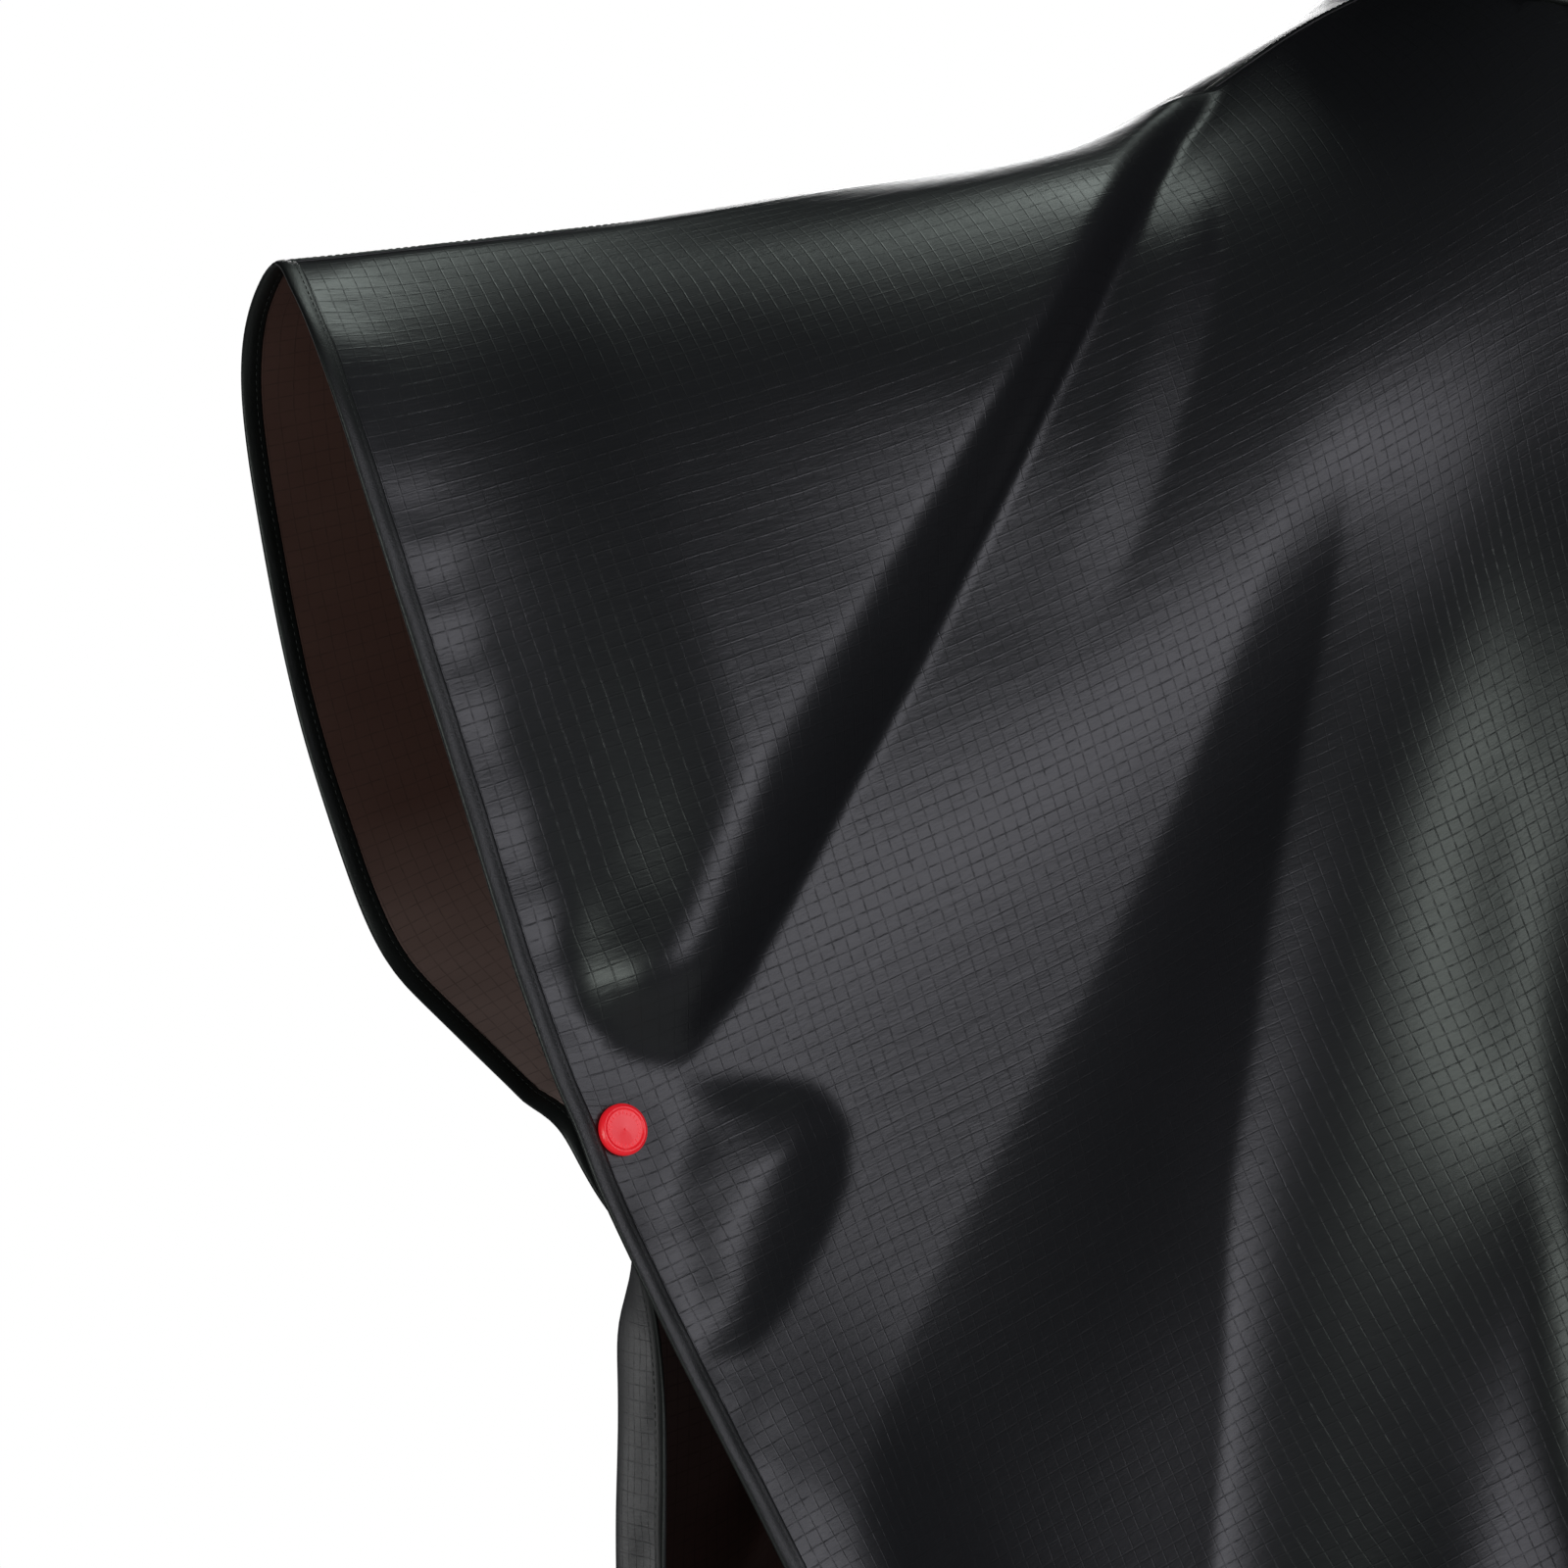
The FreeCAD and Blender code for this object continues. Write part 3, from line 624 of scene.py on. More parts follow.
def flat_cut():
    """The flat cloth as a grid, with the neck hole's rim moved onto its oval."""
    rows_front = int(round(FRONT_CUT / CELL))
    rows_back = int(round(BACK_CUT / CELL))
    columns = 2 * int(round(HALF_CUT / CELL))
    xs = np.linspace(-HALF_CUT, HALF_CUT, columns + 1)
    front_ys = np.linspace(-FRONT_CUT, 0, rows_front + 1)
    ys = np.concatenate([front_ys, np.linspace(0, BACK_CUT, rows_back + 1)[1:]])
    mesh = bmesh.new()
    grid = {}
    for j, y in enumerate(ys):
        for i, x in enumerate(xs):
            if (x / NECK_X) ** 2 + ((y - NECK_MID) / NECK_Y) ** 2 >= 1.0:
                grid[i, j] = mesh.verts.new((x, y, 0.0))
    for j in range(len(ys) - 1):
        for i in range(len(xs) - 1):
            corners = [grid.get(key) for key in ((i, j), (i + 1, j), (i + 1, j + 1), (i, j + 1))]
            if all(corners):
                mesh.faces.new(corners)
    bmesh.ops.delete(mesh, geom=[v for v in mesh.verts if not v.link_faces], context="VERTS")
    rim = []
    for vert in mesh.verts:
        if vert.is_boundary and abs(vert.co.x) < 0.15 and abs(vert.co.y - NECK_MID) < 0.16:
            reach = math.hypot(vert.co.x / NECK_X, (vert.co.y - NECK_MID) / NECK_Y)
            on_seam_line = abs(vert.co.y) < 1e-6
            vert.co.x /= reach
            if not on_seam_line:
                vert.co.y = NECK_MID + (vert.co.y - NECK_MID) / reach
            else:
                vert.co.x = math.copysign(NECK_X * math.sqrt(1 - (NECK_MID / NECK_Y) ** 2), vert.co.x)
            rim.append(vert)
    mesh.verts.index_update()
    rim = [vert.index for vert in rim]
    data = bpy.data.meshes.new("poncho_cloth")
    mesh.to_mesh(data)
    mesh.free()
    return data, rim


cloth_mesh, neck_rim = flat_cut()
flat = np.array([v.co[:] for v in cloth_mesh.vertices])
cut_places = cloth_mesh.attributes.new("cut", "FLOAT_VECTOR", "POINT")
cut_places.data.foreach_set("vector", flat.astype(np.float32).ravel())
print("flat cut", len(flat), "points, neck rim", len(neck_rim))

# %% Held places of the cloth
STUD_INSET = 16.0 * MM
STUD_GRIP = 17.0 * MM
# Heights of the front and the back cloth on a stud's axis, from its cap's seat
FRONT_AT_STUD = -0.6 * MM
BACK_AT_STUD = -5.8 * MM
FRONT_HELD = 0.62
BACK_HELD = 0.80
STUD_LEAN = math.radians(18.0)
TURN_IN = 0.052
TURN_OFFSET = np.array([0.009, 0.050, 0.0])
CHEST_HALF = 0.040
CHEST_LOW = 0.31


def stud_distance(line, place):
    """Distance down an edge line that is level with a place."""
    return float(line[0][np.argmin(np.linalg.norm(line[1] - place, axis=1))])


def cad_surface(*nodes):
    """A tree for casting rays at CAD nodes."""
    points = []
    faces = []
    for node in nodes:
        data = frame_objects[node].data
        start = len(points)
        points += [v.co.copy() for v in data.vertices]
        faces += [[start + k for k in p.vertices] for p in data.polygons]
    return BVHTree.FromPolygons(points, faces)


chest_front = cad_surface("front_yoke", "front_panel")


def chest_y(x, z):
    """Front of the chest, where the CAD cloth is."""
    hit = chest_front.ray_cast(Vector((x, -1.0, z)), Vector((0, 1, 0)))
    return hit[0].y + CAD_CLOTH / 2 if hit[0] is not None else None


def chest_line(x):
    """The cloth's line down the chest from the neck rim at one place across."""
    share = math.sqrt(max(0.0, 1.0 - (x / NECK_X) ** 2))
    y = NECK_MID - NECK_Y * share
    points = [np.array([x, y, neck_height(y)])]
    outside_slit = x if abs(x) > 6 * MM else math.copysign(6 * MM, x if x else 1.0)
    for z in np.arange(points[0][2] - 0.012, -0.30, -0.006):
        y = chest_y(outside_slit, z)
        if y is not None:
            points.append(np.array([x, y, z]))
    return by_length(np.array(points)), NECK_Y * share - NECK_MID


def held_places():
    """Where each held vertex of the flat cloth goes."""
    held = {}
    for k in neck_rim:
        x, y, z = flat[k]
        held[k] = np.array([x, y, neck_height(y)])
    for k, (x, y, z) in enumerate(flat):
        side = 1 if x > 0 else -1
        inboard = HALF_CUT - abs(x)
        if abs(y) < 1e-6 and k not in held:
            held[k] = at_length(shoulder[side], inboard)
        elif inboard < 1e-6 and y < 0 and -y <= FRONT_HELD:
            held[k] = at_length(front_edge[side], -y)
        elif inboard < 1e-6 and 0 < y <= BACK_HELD:
            held[k] = at_length(back_edge[side], y)
        elif abs(inboard - TURN_IN) < CELL / 2 and 0.50 < y < 0.72:
            offset = TURN_OFFSET * (-side, 1, 1)
            held[k] = at_length(back_edge[side], y) + offset
        elif abs(x) < CHEST_HALF and y < 0 and k not in held:
            line, rim_y = chest_line(x)
            if -y - rim_y < CHEST_LOW - 0.12:
                held[k] = at_length(line, -y - rim_y)
    for side in SIDES:
        place, axis = side_studs[0 if side < 0 else 1]
        down = np.cross(axis, (side * 1.0, 0, 0))
        down = down if down[2] < 0 else -down
        out = np.array([side * math.cos(STUD_LEAN), 0, 0]) - down * math.sin(STUD_LEAN)
        fall = down * math.cos(STUD_LEAN) - np.array([side * math.sin(STUD_LEAN), 0, 0])
        for sheet_sign, line, level in ((-1, front_edge, FRONT_AT_STUD), (1, back_edge, BACK_AT_STUD)):
            stud_down = stud_distance(line[side], place)
            for k, (x, y, z) in enumerate(flat):
                across = side * x - (HALF_CUT - STUD_INSET)
                along = sheet_sign * y - stud_down
                if side * x > 0 and math.hypot(across, along) < STUD_GRIP:
                    held[k] = place + axis * level + out * across + fall * along
    return held


held = held_places()
print("held vertices", len(held))


# %% [markdown]
# ## Letting the cloth fall
# Blender's Cloth moves the flat cut from above the shoulders to its held places in 45 frames and lets
# it settle on the form for the rest. A stiffer band along the edge stands for the binding.
# %% Drape
FALL_FRAMES = 45
SETTLE_FRAME = 100
CALM_ROUNDS = 40


def drape(form):
    start = flat.copy()
    for k, (x, y, z) in enumerate(flat):
        away = max(0.0, math.hypot(x / NECK_X, (y - NECK_MID) / NECK_Y) - 1.0)
        near = math.exp(-0.8 * away)
        start[k, 2] = neck_height(y) * near + 0.02 * (1.0 - near)
    cloth_mesh.vertices.foreach_set("co", start.ravel())
    cloth = link("poncho_cloth", cloth_mesh)
    pins = cloth.vertex_groups.new(name="held")
    pins.add([int(k) for k in held], 1.0, "REPLACE")
    border = cloth.vertex_groups.new(name="bound")
    edge = [k for k, (x, y, z) in enumerate(flat)
            if HALF_CUT - abs(x) < 0.02 or y < 0.02 - FRONT_CUT or y > BACK_CUT - 0.02]
    border.add(edge, 1.0, "REPLACE")
    cloth.shape_key_add(name="Basis")
    worn = cloth.shape_key_add(name="worn")
    for k, place in held.items():
        worn.data[k].co = place
    worn.value = 0.0
    worn.keyframe_insert("value", frame=1)
    worn.value = 1.0
    worn.keyframe_insert("value", frame=FALL_FRAMES)
    physics = cloth.modifiers.new("cloth", "CLOTH")
    nylon = physics.settings
    nylon.quality = 5
    nylon.mass = 0.15
    nylon.tension_stiffness = nylon.compression_stiffness = 40.0
    nylon.shear_stiffness = 30.0
    nylon.bending_stiffness = 3.0
    nylon.bending_stiffness_max = 60.0
    nylon.vertex_group_bending = "bound"
    nylon.vertex_group_mass = "held"
    nylon.pin_stiffness = 1.0
    nylon.tension_damping = nylon.compression_damping = nylon.shear_damping = 5.0
    nylon.bending_damping = 0.5
    nylon.air_damping = 1.0
    physics.collision_settings.collision_quality = 3
    physics.collision_settings.distance_min = 0.003
    physics.collision_settings.use_self_collision = False
    physics.point_cache.frame_start = 1
    physics.point_cache.frame_end = SETTLE_FRAME
    scene.frame_start = 1
    scene.frame_end = SETTLE_FRAME
    for number in range(1, SETTLE_FRAME + 1):
        scene.frame_set(number)
    graph = bpy.context.evaluated_depsgraph_get()
    fallen = np.array([v.co[:] for v in cloth.evaluated_get(graph).data.vertices])
    cloth.modifiers.clear()
    cloth.shape_key_clear()
    cloth.animation_data_clear()
    scene.frame_set(1)
    cloth_mesh.vertices.foreach_set("co", fallen.astype(np.float32).ravel())
    cloth_mesh.update()
    return cloth


def calmed(places, rounds, amount):
    """Even out small creases: each free vertex moves towards the middle of its neighbours."""
    ends = np.array([edge.vertices[:] for edge in cloth_mesh.edges])
    links = np.zeros(len(places))
    np.add.at(links, ends[:, 0], 1)
    np.add.at(links, ends[:, 1], 1)
    free = amount.copy()
    free[list(held)] = 0.0
    inboard = HALF_CUT - np.abs(flat[:, 0])
    free[(inboard < 1e-6) | (flat[:, 1] < 1e-6 - FRONT_CUT) | (flat[:, 1] > BACK_CUT - 1e-6)] = 0.0
    for _ in range(rounds):
        total = np.zeros_like(places)
        np.add.at(total, ends[:, 0], places[ends[:, 1]])
        np.add.at(total, ends[:, 1], places[ends[:, 0]])
        places = places + (total / links[:, None] - places) * free[:, None]
    return places


wearer = wearer_form()
poncho = drape(wearer)
bpy.data.objects.remove(wearer)
fallen = np.array([v.co[:] for v in cloth_mesh.vertices])
upper = 1.0 - 0.85 * np.clip((np.abs(flat[:, 1]) - 0.42) / 0.16, 0.0, 1.0)
front = flat[:, 1] < 0
fallen = calmed(fallen, CALM_ROUNDS, 0.5 * np.where(front, upper, 0.35 * upper))
cloth_mesh.vertices.foreach_set("co", fallen.astype(np.float32).ravel())
draped = np.array([v.co[:] for v in cloth_mesh.vertices])
print("draped box", draped.min(axis=0).round(3), draped.max(axis=0).round(3))

# %% [markdown]
# ## Finer cloth and its pressed-in folds
# The grid is divided twice, to 4.5 mm. A pull from the press stud to the shoulder gathers the cloth in
# one sharp fold with a soft roll beside it, and long pleats fall below. They are finer than the drape
# can show, so they are raised along lines that start at the stud and the shoulder.
# %% Divide the cloth
def arrays(item):
    data = item.data
    count = len(data.vertices)
    places = np.empty(count * 3)
    data.vertices.foreach_get("co", places)
    normals = np.empty(count * 3)
    data.vertices.foreach_get("normal", normals)
    cut = np.empty(count * 3, dtype=np.float32)
    data.attributes["cut"].data.foreach_get("vector", cut)
    return places.reshape(-1, 3), normals.reshape(-1, 3), cut.reshape(-1, 3)


finer = poncho.modifiers.new("finer", "SUBSURF")
finer.levels = 2
finer.render_levels = 2
finer.boundary_smooth = "PRESERVE_CORNERS"
settle(poncho)
places, normals, cut = arrays(poncho)
middle_front = (np.abs(cut[:, 0]) < 0.1) & (cut[:, 1] < -0.3)
# 1 where the mesh's normals point out of the poncho, -1 where they point in
FRONT_OUT = -1.0 if normals[middle_front, 1].mean() > 0 else 1.0
print("finer cloth", len(places), "points; normals turned" if FRONT_OUT < 0 else "points")

# %% Folds
def ease(low, high, value):
    t = np.clip((value - low) / (high - low), 0.0, 1.0)
    return t * t * (3.0 - 2.0 * t)


def bell(distance, middle, width_in, width_out):
    """A bell with its own width on each side of its middle."""
    offset = distance - middle
    width = np.where(offset < 0, width_in, width_out)
    return np.exp(-(offset / width) ** 2)


def fold_coordinates(x, y, line):
    """Share along a line of the flat cut, and the signed distance from it, positive outwards."""
    nearest = np.full(len(x), np.inf)
    outward = np.zeros(len(x))
    for start, end in zip(line, line[1:]):
        step = end - start
        along = ((x - start[0]) * step[0] + (y - start[1]) * step[1]) / (step @ step)
        along = np.clip(along, 0.0, 1.0)
        distance = np.hypot(x - start[0] - along * step[0], y - start[1] - along * step[1])
        side = np.sign((y - start[1]) * step[0] - (x - start[0]) * step[1])
        closer = distance < nearest - 1e-9
        outward = np.where(closer, side * distance, outward)
        nearest = np.where(closer, distance, nearest)
    chord = line[-1] - line[0]
    share = ((x - line[0][0]) * chord[0] + (y - line[0][1]) * chord[1]) / (chord @ chord)
    return np.clip(share, 0.0, 1.0), outward


def rolled_fold(cut, line, height, width, reach, fade_in, fade_out, curve=1.8):
    """A soft roll that ends in a sharp step down at a line of the flat cut.

    Height, width and reach are (at the start, at the end) in metres. The roll is on the sleeve side."""
    share, outward = fold_coordinates(np.abs(cut[:, 0]), cut[:, 1], line)
    tall = height[0] + (height[1] - height[0]) * ease(0.0, 0.5, share)
    wide = width[0] + (width[1] - width[0]) * ease(0.05, 0.80, share)
    long = reach[0] + (reach[1] - reach[0]) * ease(0.0, 0.6, share)
    drop = 1.0 - np.clip(1.0 - outward / wide, 0.0, 1.0) ** curve
    slope = 1.0 - ease(0.0, 1.0, (outward - wide) / long)
    hold = ease(0.0, fade_in, share) * (1.0 - ease(1.0 - fade_out, 1.0, share))
    to_edge = ease(0.0, 0.11, HALF_CUT - np.abs(cut[:, 0])) ** ease(0.01, 0.08, outward)
    return np.where(outward > 0, tall * drop * slope * to_edge, 0.0) * hold


# The lines of the steps in the flat cut: (out from the middle, down the front)
SHOULDER_FOLD = np.array([(0.190, 0.006), (0.240, -0.036), (0.283, -0.087), (0.322, -0.124), (0.355, -0.155),
                          (0.398, -0.198), (0.442, -0.240), (0.480, -0.272), (0.515, -0.302), (0.552, -0.332),
                          (0.600, -0.358)])
YOKE_FOLD = np.array([(0.225, -0.060), (0.255, -0.120), (0.285, -0.165), (0.325, -0.215), (0.370, -0.265)])
CHEST_FOLD = np.array([(0.195, -0.150), (0.240, -0.270), (0.285, -0.365), (0.329, -0.448), (0.360, -0.498),
                       (0.398, -0.566), (0.438, -0.632), (0.530, -0.800), (0.590, -0.960)])
STUD_FOLD = np.array([(0.575, -0.355), (0.535, -0.375), (0.528, -0.400), (0.538, -0.422), (0.556, -0.438),
                      (0.585, -0.456), (0.625, -0.470)])
print("fold lines", len(SHOULDER_FOLD), len(YOKE_FOLD), len(CHEST_FOLD), len(STUD_FOLD))


def front_relief(places, cut):
    """Height to raise the front cloth by, along its outside."""
    relief = rolled_fold(cut, SHOULDER_FOLD, (0.008, 0.034), (0.014, 0.052), (0.08, 0.22), 0.08, 0.05)
    relief += rolled_fold(cut, YOKE_FOLD, (0.006, 0.006), (0.022, 0.032), (0.30, 0.30), 0.30, 0.40)
    relief += rolled_fold(cut, STUD_FOLD, (0.020, 0.024), (0.070, 0.085), (0.05, 0.05), 0.15, 0.12, 1.25)
    share, outward = fold_coordinates(np.abs(cut[:, 0]), cut[:, 1], CHEST_FOLD)
    wide = 0.034 + 0.190 * ease(0.05, 0.80, share)
    flank = np.clip(1.0 - np.maximum(outward, 0.0) / wide, 0.0, 1.0) ** 1.35
    wall = 1.0 - ease(0.0, 0.11, -outward)
    valley = np.where(outward > 0, flank, wall) * ease(0.03, 0.30, share)
    relief -= (0.010 + 0.028 * ease(0.0, 0.5, share)) * valley
    inboard = HALF_CUT - np.abs(cut[:, 0])
    stud_cut = np.array([HALF_CUT - STUD_INSET, -stud_distance(front_edge[-1], side_studs[0][0])])
    from_stud = np.hypot(np.abs(cut[:, 0]) - stud_cut[0], cut[:, 1] - stud_cut[1])
    cone = ease(0.008, 0.062, from_stud)
    near_edge = ease(0.0, 0.035, inboard)
    off_chest = ease(CHEST_HALF, 0.09, np.abs(cut[:, 0]))
    return relief * near_edge * cone * off_chest


def back_relief(places, cut):
    """Long soft pleats down the back, fading at the shoulders and edges."""
    x = cut[:, 0]
    depth = ease(0.18, 0.75, cut[:, 1])
    wave = 0.009 * np.cos(2.0 * math.pi * x / 0.27 + 1.1 * np.sin(2.4 * cut[:, 1]))
    near_edge = ease(0.0, 0.10, HALF_CUT - np.abs(x))
    return wave * depth * near_edge


def puckers(cut):
    """Small gathers where the binding is sewn on."""
    inboard = HALF_CUT - np.abs(cut[:, 0])
    side_run = np.sin(2.0 * math.pi * cut[:, 1] / 0.035 + 1.3 * np.sin(cut[:, 1] * 41.0))
    from_hem = np.minimum(cut[:, 1] + FRONT_CUT, BACK_CUT - cut[:, 1])
    hem_run = np.sin(2.0 * math.pi * cut[:, 0] / 0.035 + 1.3 * np.sin(cut[:, 0] * 37.0))
    sides = bell(inboard, 0.012, 0.008, 0.012) * side_run
    hems = bell(from_hem, 0.012, 0.008, 0.012) * hem_run
    return 0.00045 * (sides + hems)


FRONT_FREE, FRONT_SLACK = 0.130, 0.112
BACK_FREE, BACK_SLACK = 0.088, 0.085


def reined_in(places):
    """Keep the hems' flare to the depth the CAD model gives the poncho."""
    y = places[:, 1]
    front = FRONT_FREE + FRONT_SLACK * np.tanh(np.maximum(-y - FRONT_FREE, 0.0) / FRONT_SLACK)
    back = BACK_FREE + BACK_SLACK * np.tanh(np.maximum(y - BACK_FREE, 0.0) / BACK_SLACK)
    reined = np.where(y < -FRONT_FREE, -front, np.where(y > BACK_FREE, back, y))
    return np.column_stack([places[:, 0], reined, places[:, 2]])


def gripped(places, cut):
    """Press the cloth flat round each press stud, as its cap and socket clamp it."""
    for place, axis in side_studs:
        for chosen, level in ((cut[:, 1] < 0, FRONT_AT_STUD), (cut[:, 1] > 0, BACK_AT_STUD)):
            offset = places - place
            height = offset @ axis
            radius = np.linalg.norm(offset - height[:, None] * axis, axis=1)
            near = chosen & (np.abs(height) < 0.03)
            grip = np.where(near, 1.0 - ease(0.012, 0.030, radius), 0.0)
            places = places + ((level - height) * grip)[:, None] * axis
    return places


front_side = cut[:, 1] < 0
relief = np.where(front_side, front_relief(places, cut), back_relief(places, cut)) + puckers(cut)
stud_fade = np.ones(len(places))
for place, axis in side_studs:
    stud_fade *= ease(0.013, 0.040, np.linalg.norm(places - place, axis=1))
places = gripped(reined_in(places + normals * (FRONT_OUT * relief * stud_fade)[:, None]), cut)
poncho.data.vertices.foreach_set("co", places.ravel())
poncho.data.update()
print("relief from", round(float(relief.min()) / MM, 1), "to", round(float(relief.max()) / MM, 1), "mm")

# %% [markdown]
# ## Front and back sheets
# The front lifts off its press studs, so the cloth is parted at the shoulder line into a front and a
# back, which stays. Each gets its real thickness, with the brown coated face inside.
# %% Part and thicken
CLOTH_THICK = 0.45 * MM


def sheet_part(name, keep_front):
    data = poncho.data.copy()
    item = link(name, data)
    mesh = bmesh.new()
    mesh.from_mesh(data)
    layer = mesh.verts.layers.float_vector["cut"]
    drop = []
    for face in mesh.faces:
        middle_y = sum(v[layer].y for v in face.verts) / len(face.verts)
        middle_x = sum(v[layer].x for v in face.verts) / len(face.verts)
        slit = abs(middle_x) < CELL / 4 and -SLIT_LOW < middle_y < 0
        if (middle_y < 0) != keep_front or slit:
            drop.append(face)
    bmesh.ops.delete(mesh, geom=drop, context="FACES")
    if FRONT_OUT < 0:
        bmesh.ops.reverse_faces(mesh, faces=mesh.faces[:])
    mesh.to_mesh(data)
    mesh.free()
    return item


def thicken(item, thickness, outer, inner):
    item.data.materials.clear()
    item.data.materials.append(outer)
    item.data.materials.append(inner)
    item.data.shade_smooth()
    solid = item.modifiers.new("thick", "SOLIDIFY")
    solid.thickness = thickness
    solid.offset = -1.0
    solid.material_offset = 1
    solid.use_even_offset = True
    settle(item)
    item.data.shade_smooth()
    return item


SLIT_LOW = 0.282
front_sheet = sheet_part("front_sheet", True)
back_sheet = sheet_part("back_sheet", False)
front_places, front_normals, front_cut = arrays(front_sheet)
back_places, back_normals, back_cut = arrays(back_sheet)
print("front", len(front_places), "back", len(back_places))
bpy.data.objects.remove(poncho)

# %% [markdown]
# ## Binding and seams
# The tape is folded over the raw edge and sewn once, which makes a roll with a groove near its inner
# side and short stitches in the groove. Its section is swept along the draped edge, and each point of
# the path carries the cloth's own normal, so the roll lies on the cloth.
# %% Edge paths
PATH_STEP = 3.0 * MM


def unit_rows(rows):
    """Each row of an array at length 1."""
    return rows / np.linalg.norm(rows, axis=1)[:, None]


def square_to(up, tangent):
    """The up directions turned square to the tangents, at length 1."""
    return unit_rows(up - tangent * (up * tangent).sum(axis=1)[:, None])


def edge_path(places, normals, cut, chosen, order):
    """Places, normals and inward directions along a chosen line of cloth vertices."""
    index = np.where(chosen)[0]
    index = index[np.argsort(cut[index, order])]
    line, up = places[index], normals[index]
    tangent = unit_rows(np.gradient(line, axis=0))
    return line, square_to(up, tangent), tangent


def evenly(path, pitch):
    """The same path at even steps."""
    line, up, tangent = path
    run, _ = by_length(line)
    count = max(2, int(round(run[-1] / pitch)))
    steps = np.linspace(0.0, run[-1], count + 1)
    made = []
    for values in (line, up, tangent):
        made.append(np.array([np.interp(steps, run, values[:, i]) for i in range(3)]).T)
    return made[0], unit_rows(made[1]), unit_rows(made[2]), steps


def swept(name, path, section, materials, closed=False):
    """Sweep a section of (sideways, up) points; section(k, run) may change along the path."""
    line, up, tangent, steps = path
    mesh = bmesh.new()
    rings = []
    for k in range(len(line)):
        side = np.cross(up[k], tangent[k])
        ring = [mesh.verts.new(line[k] + side * a + up[k] * b) for a, b in section(steps[k])]
        rings.append(ring)
    pairs = list(zip(rings, rings[1:] + rings[:1])) if closed else list(zip(rings, rings[1:]))
    for one, two in pairs:
        for i in range(len(one)):
            j = (i + 1) % len(one)
            mesh.faces.new((one[i], one[j], two[j], two[i]))
    if not closed:
        mesh.faces.new(rings[0][::-1])
        mesh.faces.new(rings[-1])
    bmesh.ops.recalc_face_normals(mesh, faces=mesh.faces[:])
    item = mesh_piece(name, mesh, *materials)
    item.data.shade_smooth()
    return item


def roll_section(half_width, half_thick, groove):
    """Folded tape: a flattened roll with a stitch groove on each face."""
    around = np.linspace(0.0, 2.0 * math.pi, 21)[:-1]

    def section(run):
        wobble = 1.0 + 0.07 * math.sin(run / 0.0175) + 0.05 * math.sin(run / 0.0061)
        points = []
        for angle in around:
            a = half_width * math.cos(angle)
            sine = math.sin(angle)
            b = half_thick * math.copysign(abs(sine) ** 0.75, sine) * wobble
            b *= 1.0 - 0.42 * math.exp(-((a - groove) / (0.16 * half_width)) ** 2)
            points.append((a, b))
        return points
    return section


STITCH_PITCH = 3.2 * MM
STITCH_LONG = 2.1 * MM
STITCH_R = 0.22 * MM


def add_stitches(item, path, sideways, lifts, slot_index, closed=False):
    """Short thread stitches along a path, joined to a piece."""
    line, up, tangent, steps = evenly(path[:3], STITCH_PITCH)
    mesh = bmesh.new()
    mesh.from_mesh(item.data)
    for k in range(1, len(line) - 1):
        side = np.cross(up[k], tangent[k])
        for lift in lifts:
            middle = line[k] + side * sideways + up[k] * lift
            ends = [middle - tangent[k] * STITCH_LONG / 2, middle + tangent[k] * STITCH_LONG / 2]
            ribs = []
            for share, radius in ((0.0, 0.35), (0.25, 1.0), (0.75, 1.0), (1.0, 0.35)):
                place = ends[0] + (ends[1] - ends[0]) * share
                ring = []
                for turn in range(6):
                    angle = turn * math.pi / 3
                    offset = side * math.cos(angle) + up[k] * math.sin(angle)
                    ring.append(mesh.verts.new(place + offset * STITCH_R * radius))
                ribs.append(ring)
            for one, two in zip(ribs, ribs[1:]):
                for i in range(6):
                    face = mesh.faces.new((one[i], one[(i + 1) % 6], two[(i + 1) % 6], two[i]))
                    face.material_index = slot_index
                    face.smooth = True
            for ring in (ribs[0][::-1], ribs[-1]):
                mesh.faces.new(ring).material_index = slot_index
    mesh.to_mesh(item.data)
    mesh.free()
    return item


# %% Bind the edges
BIND_HALF = 4.1 * MM
BIND_THICK = 1.35 * MM
front_pieces = []
back_pieces = []


def bind(name, sheet, chosen, order, inward, half=BIND_HALF):
    """Binding along one edge of a sheet; inward is 1 or -1, the groove's side."""
    places, normals, cut = sheet
    path = evenly(edge_path(places, normals, cut, chosen, order), PATH_STEP)
    groove = inward * 0.46 * half
    piece = swept(name, path, roll_section(half, BIND_THICK, groove), [tape, thread])
    return add_stitches(piece, path, groove, (0.95 * MM, -0.95 * MM), 1)


front_data = (front_places, front_normals, front_cut)
back_data = (back_places, back_normals, back_cut)
EDGE_NEAR = 1.0e-4
for side, name in SIDES.items():
    for sheet, word, group in ((front_data, "front", front_pieces), (back_data, "back", back_pieces)):
        chosen = np.abs(sheet[2][:, 0] - side * HALF_CUT) < EDGE_NEAR
        group.append(bind(f"{word}_{name}_edge_binding", sheet, chosen, 1, side))
front_hem = np.abs(front_cut[:, 1] + FRONT_CUT) < EDGE_NEAR
back_hem = np.abs(back_cut[:, 1] - BACK_CUT) < EDGE_NEAR
front_pieces.append(bind("front_hem_roll", front_data, front_hem, 0, 1))
back_pieces.append(bind("back_hem_roll", back_data, back_hem, 0, -1))
print("bindings", [piece.name for piece in front_pieces + back_pieces])
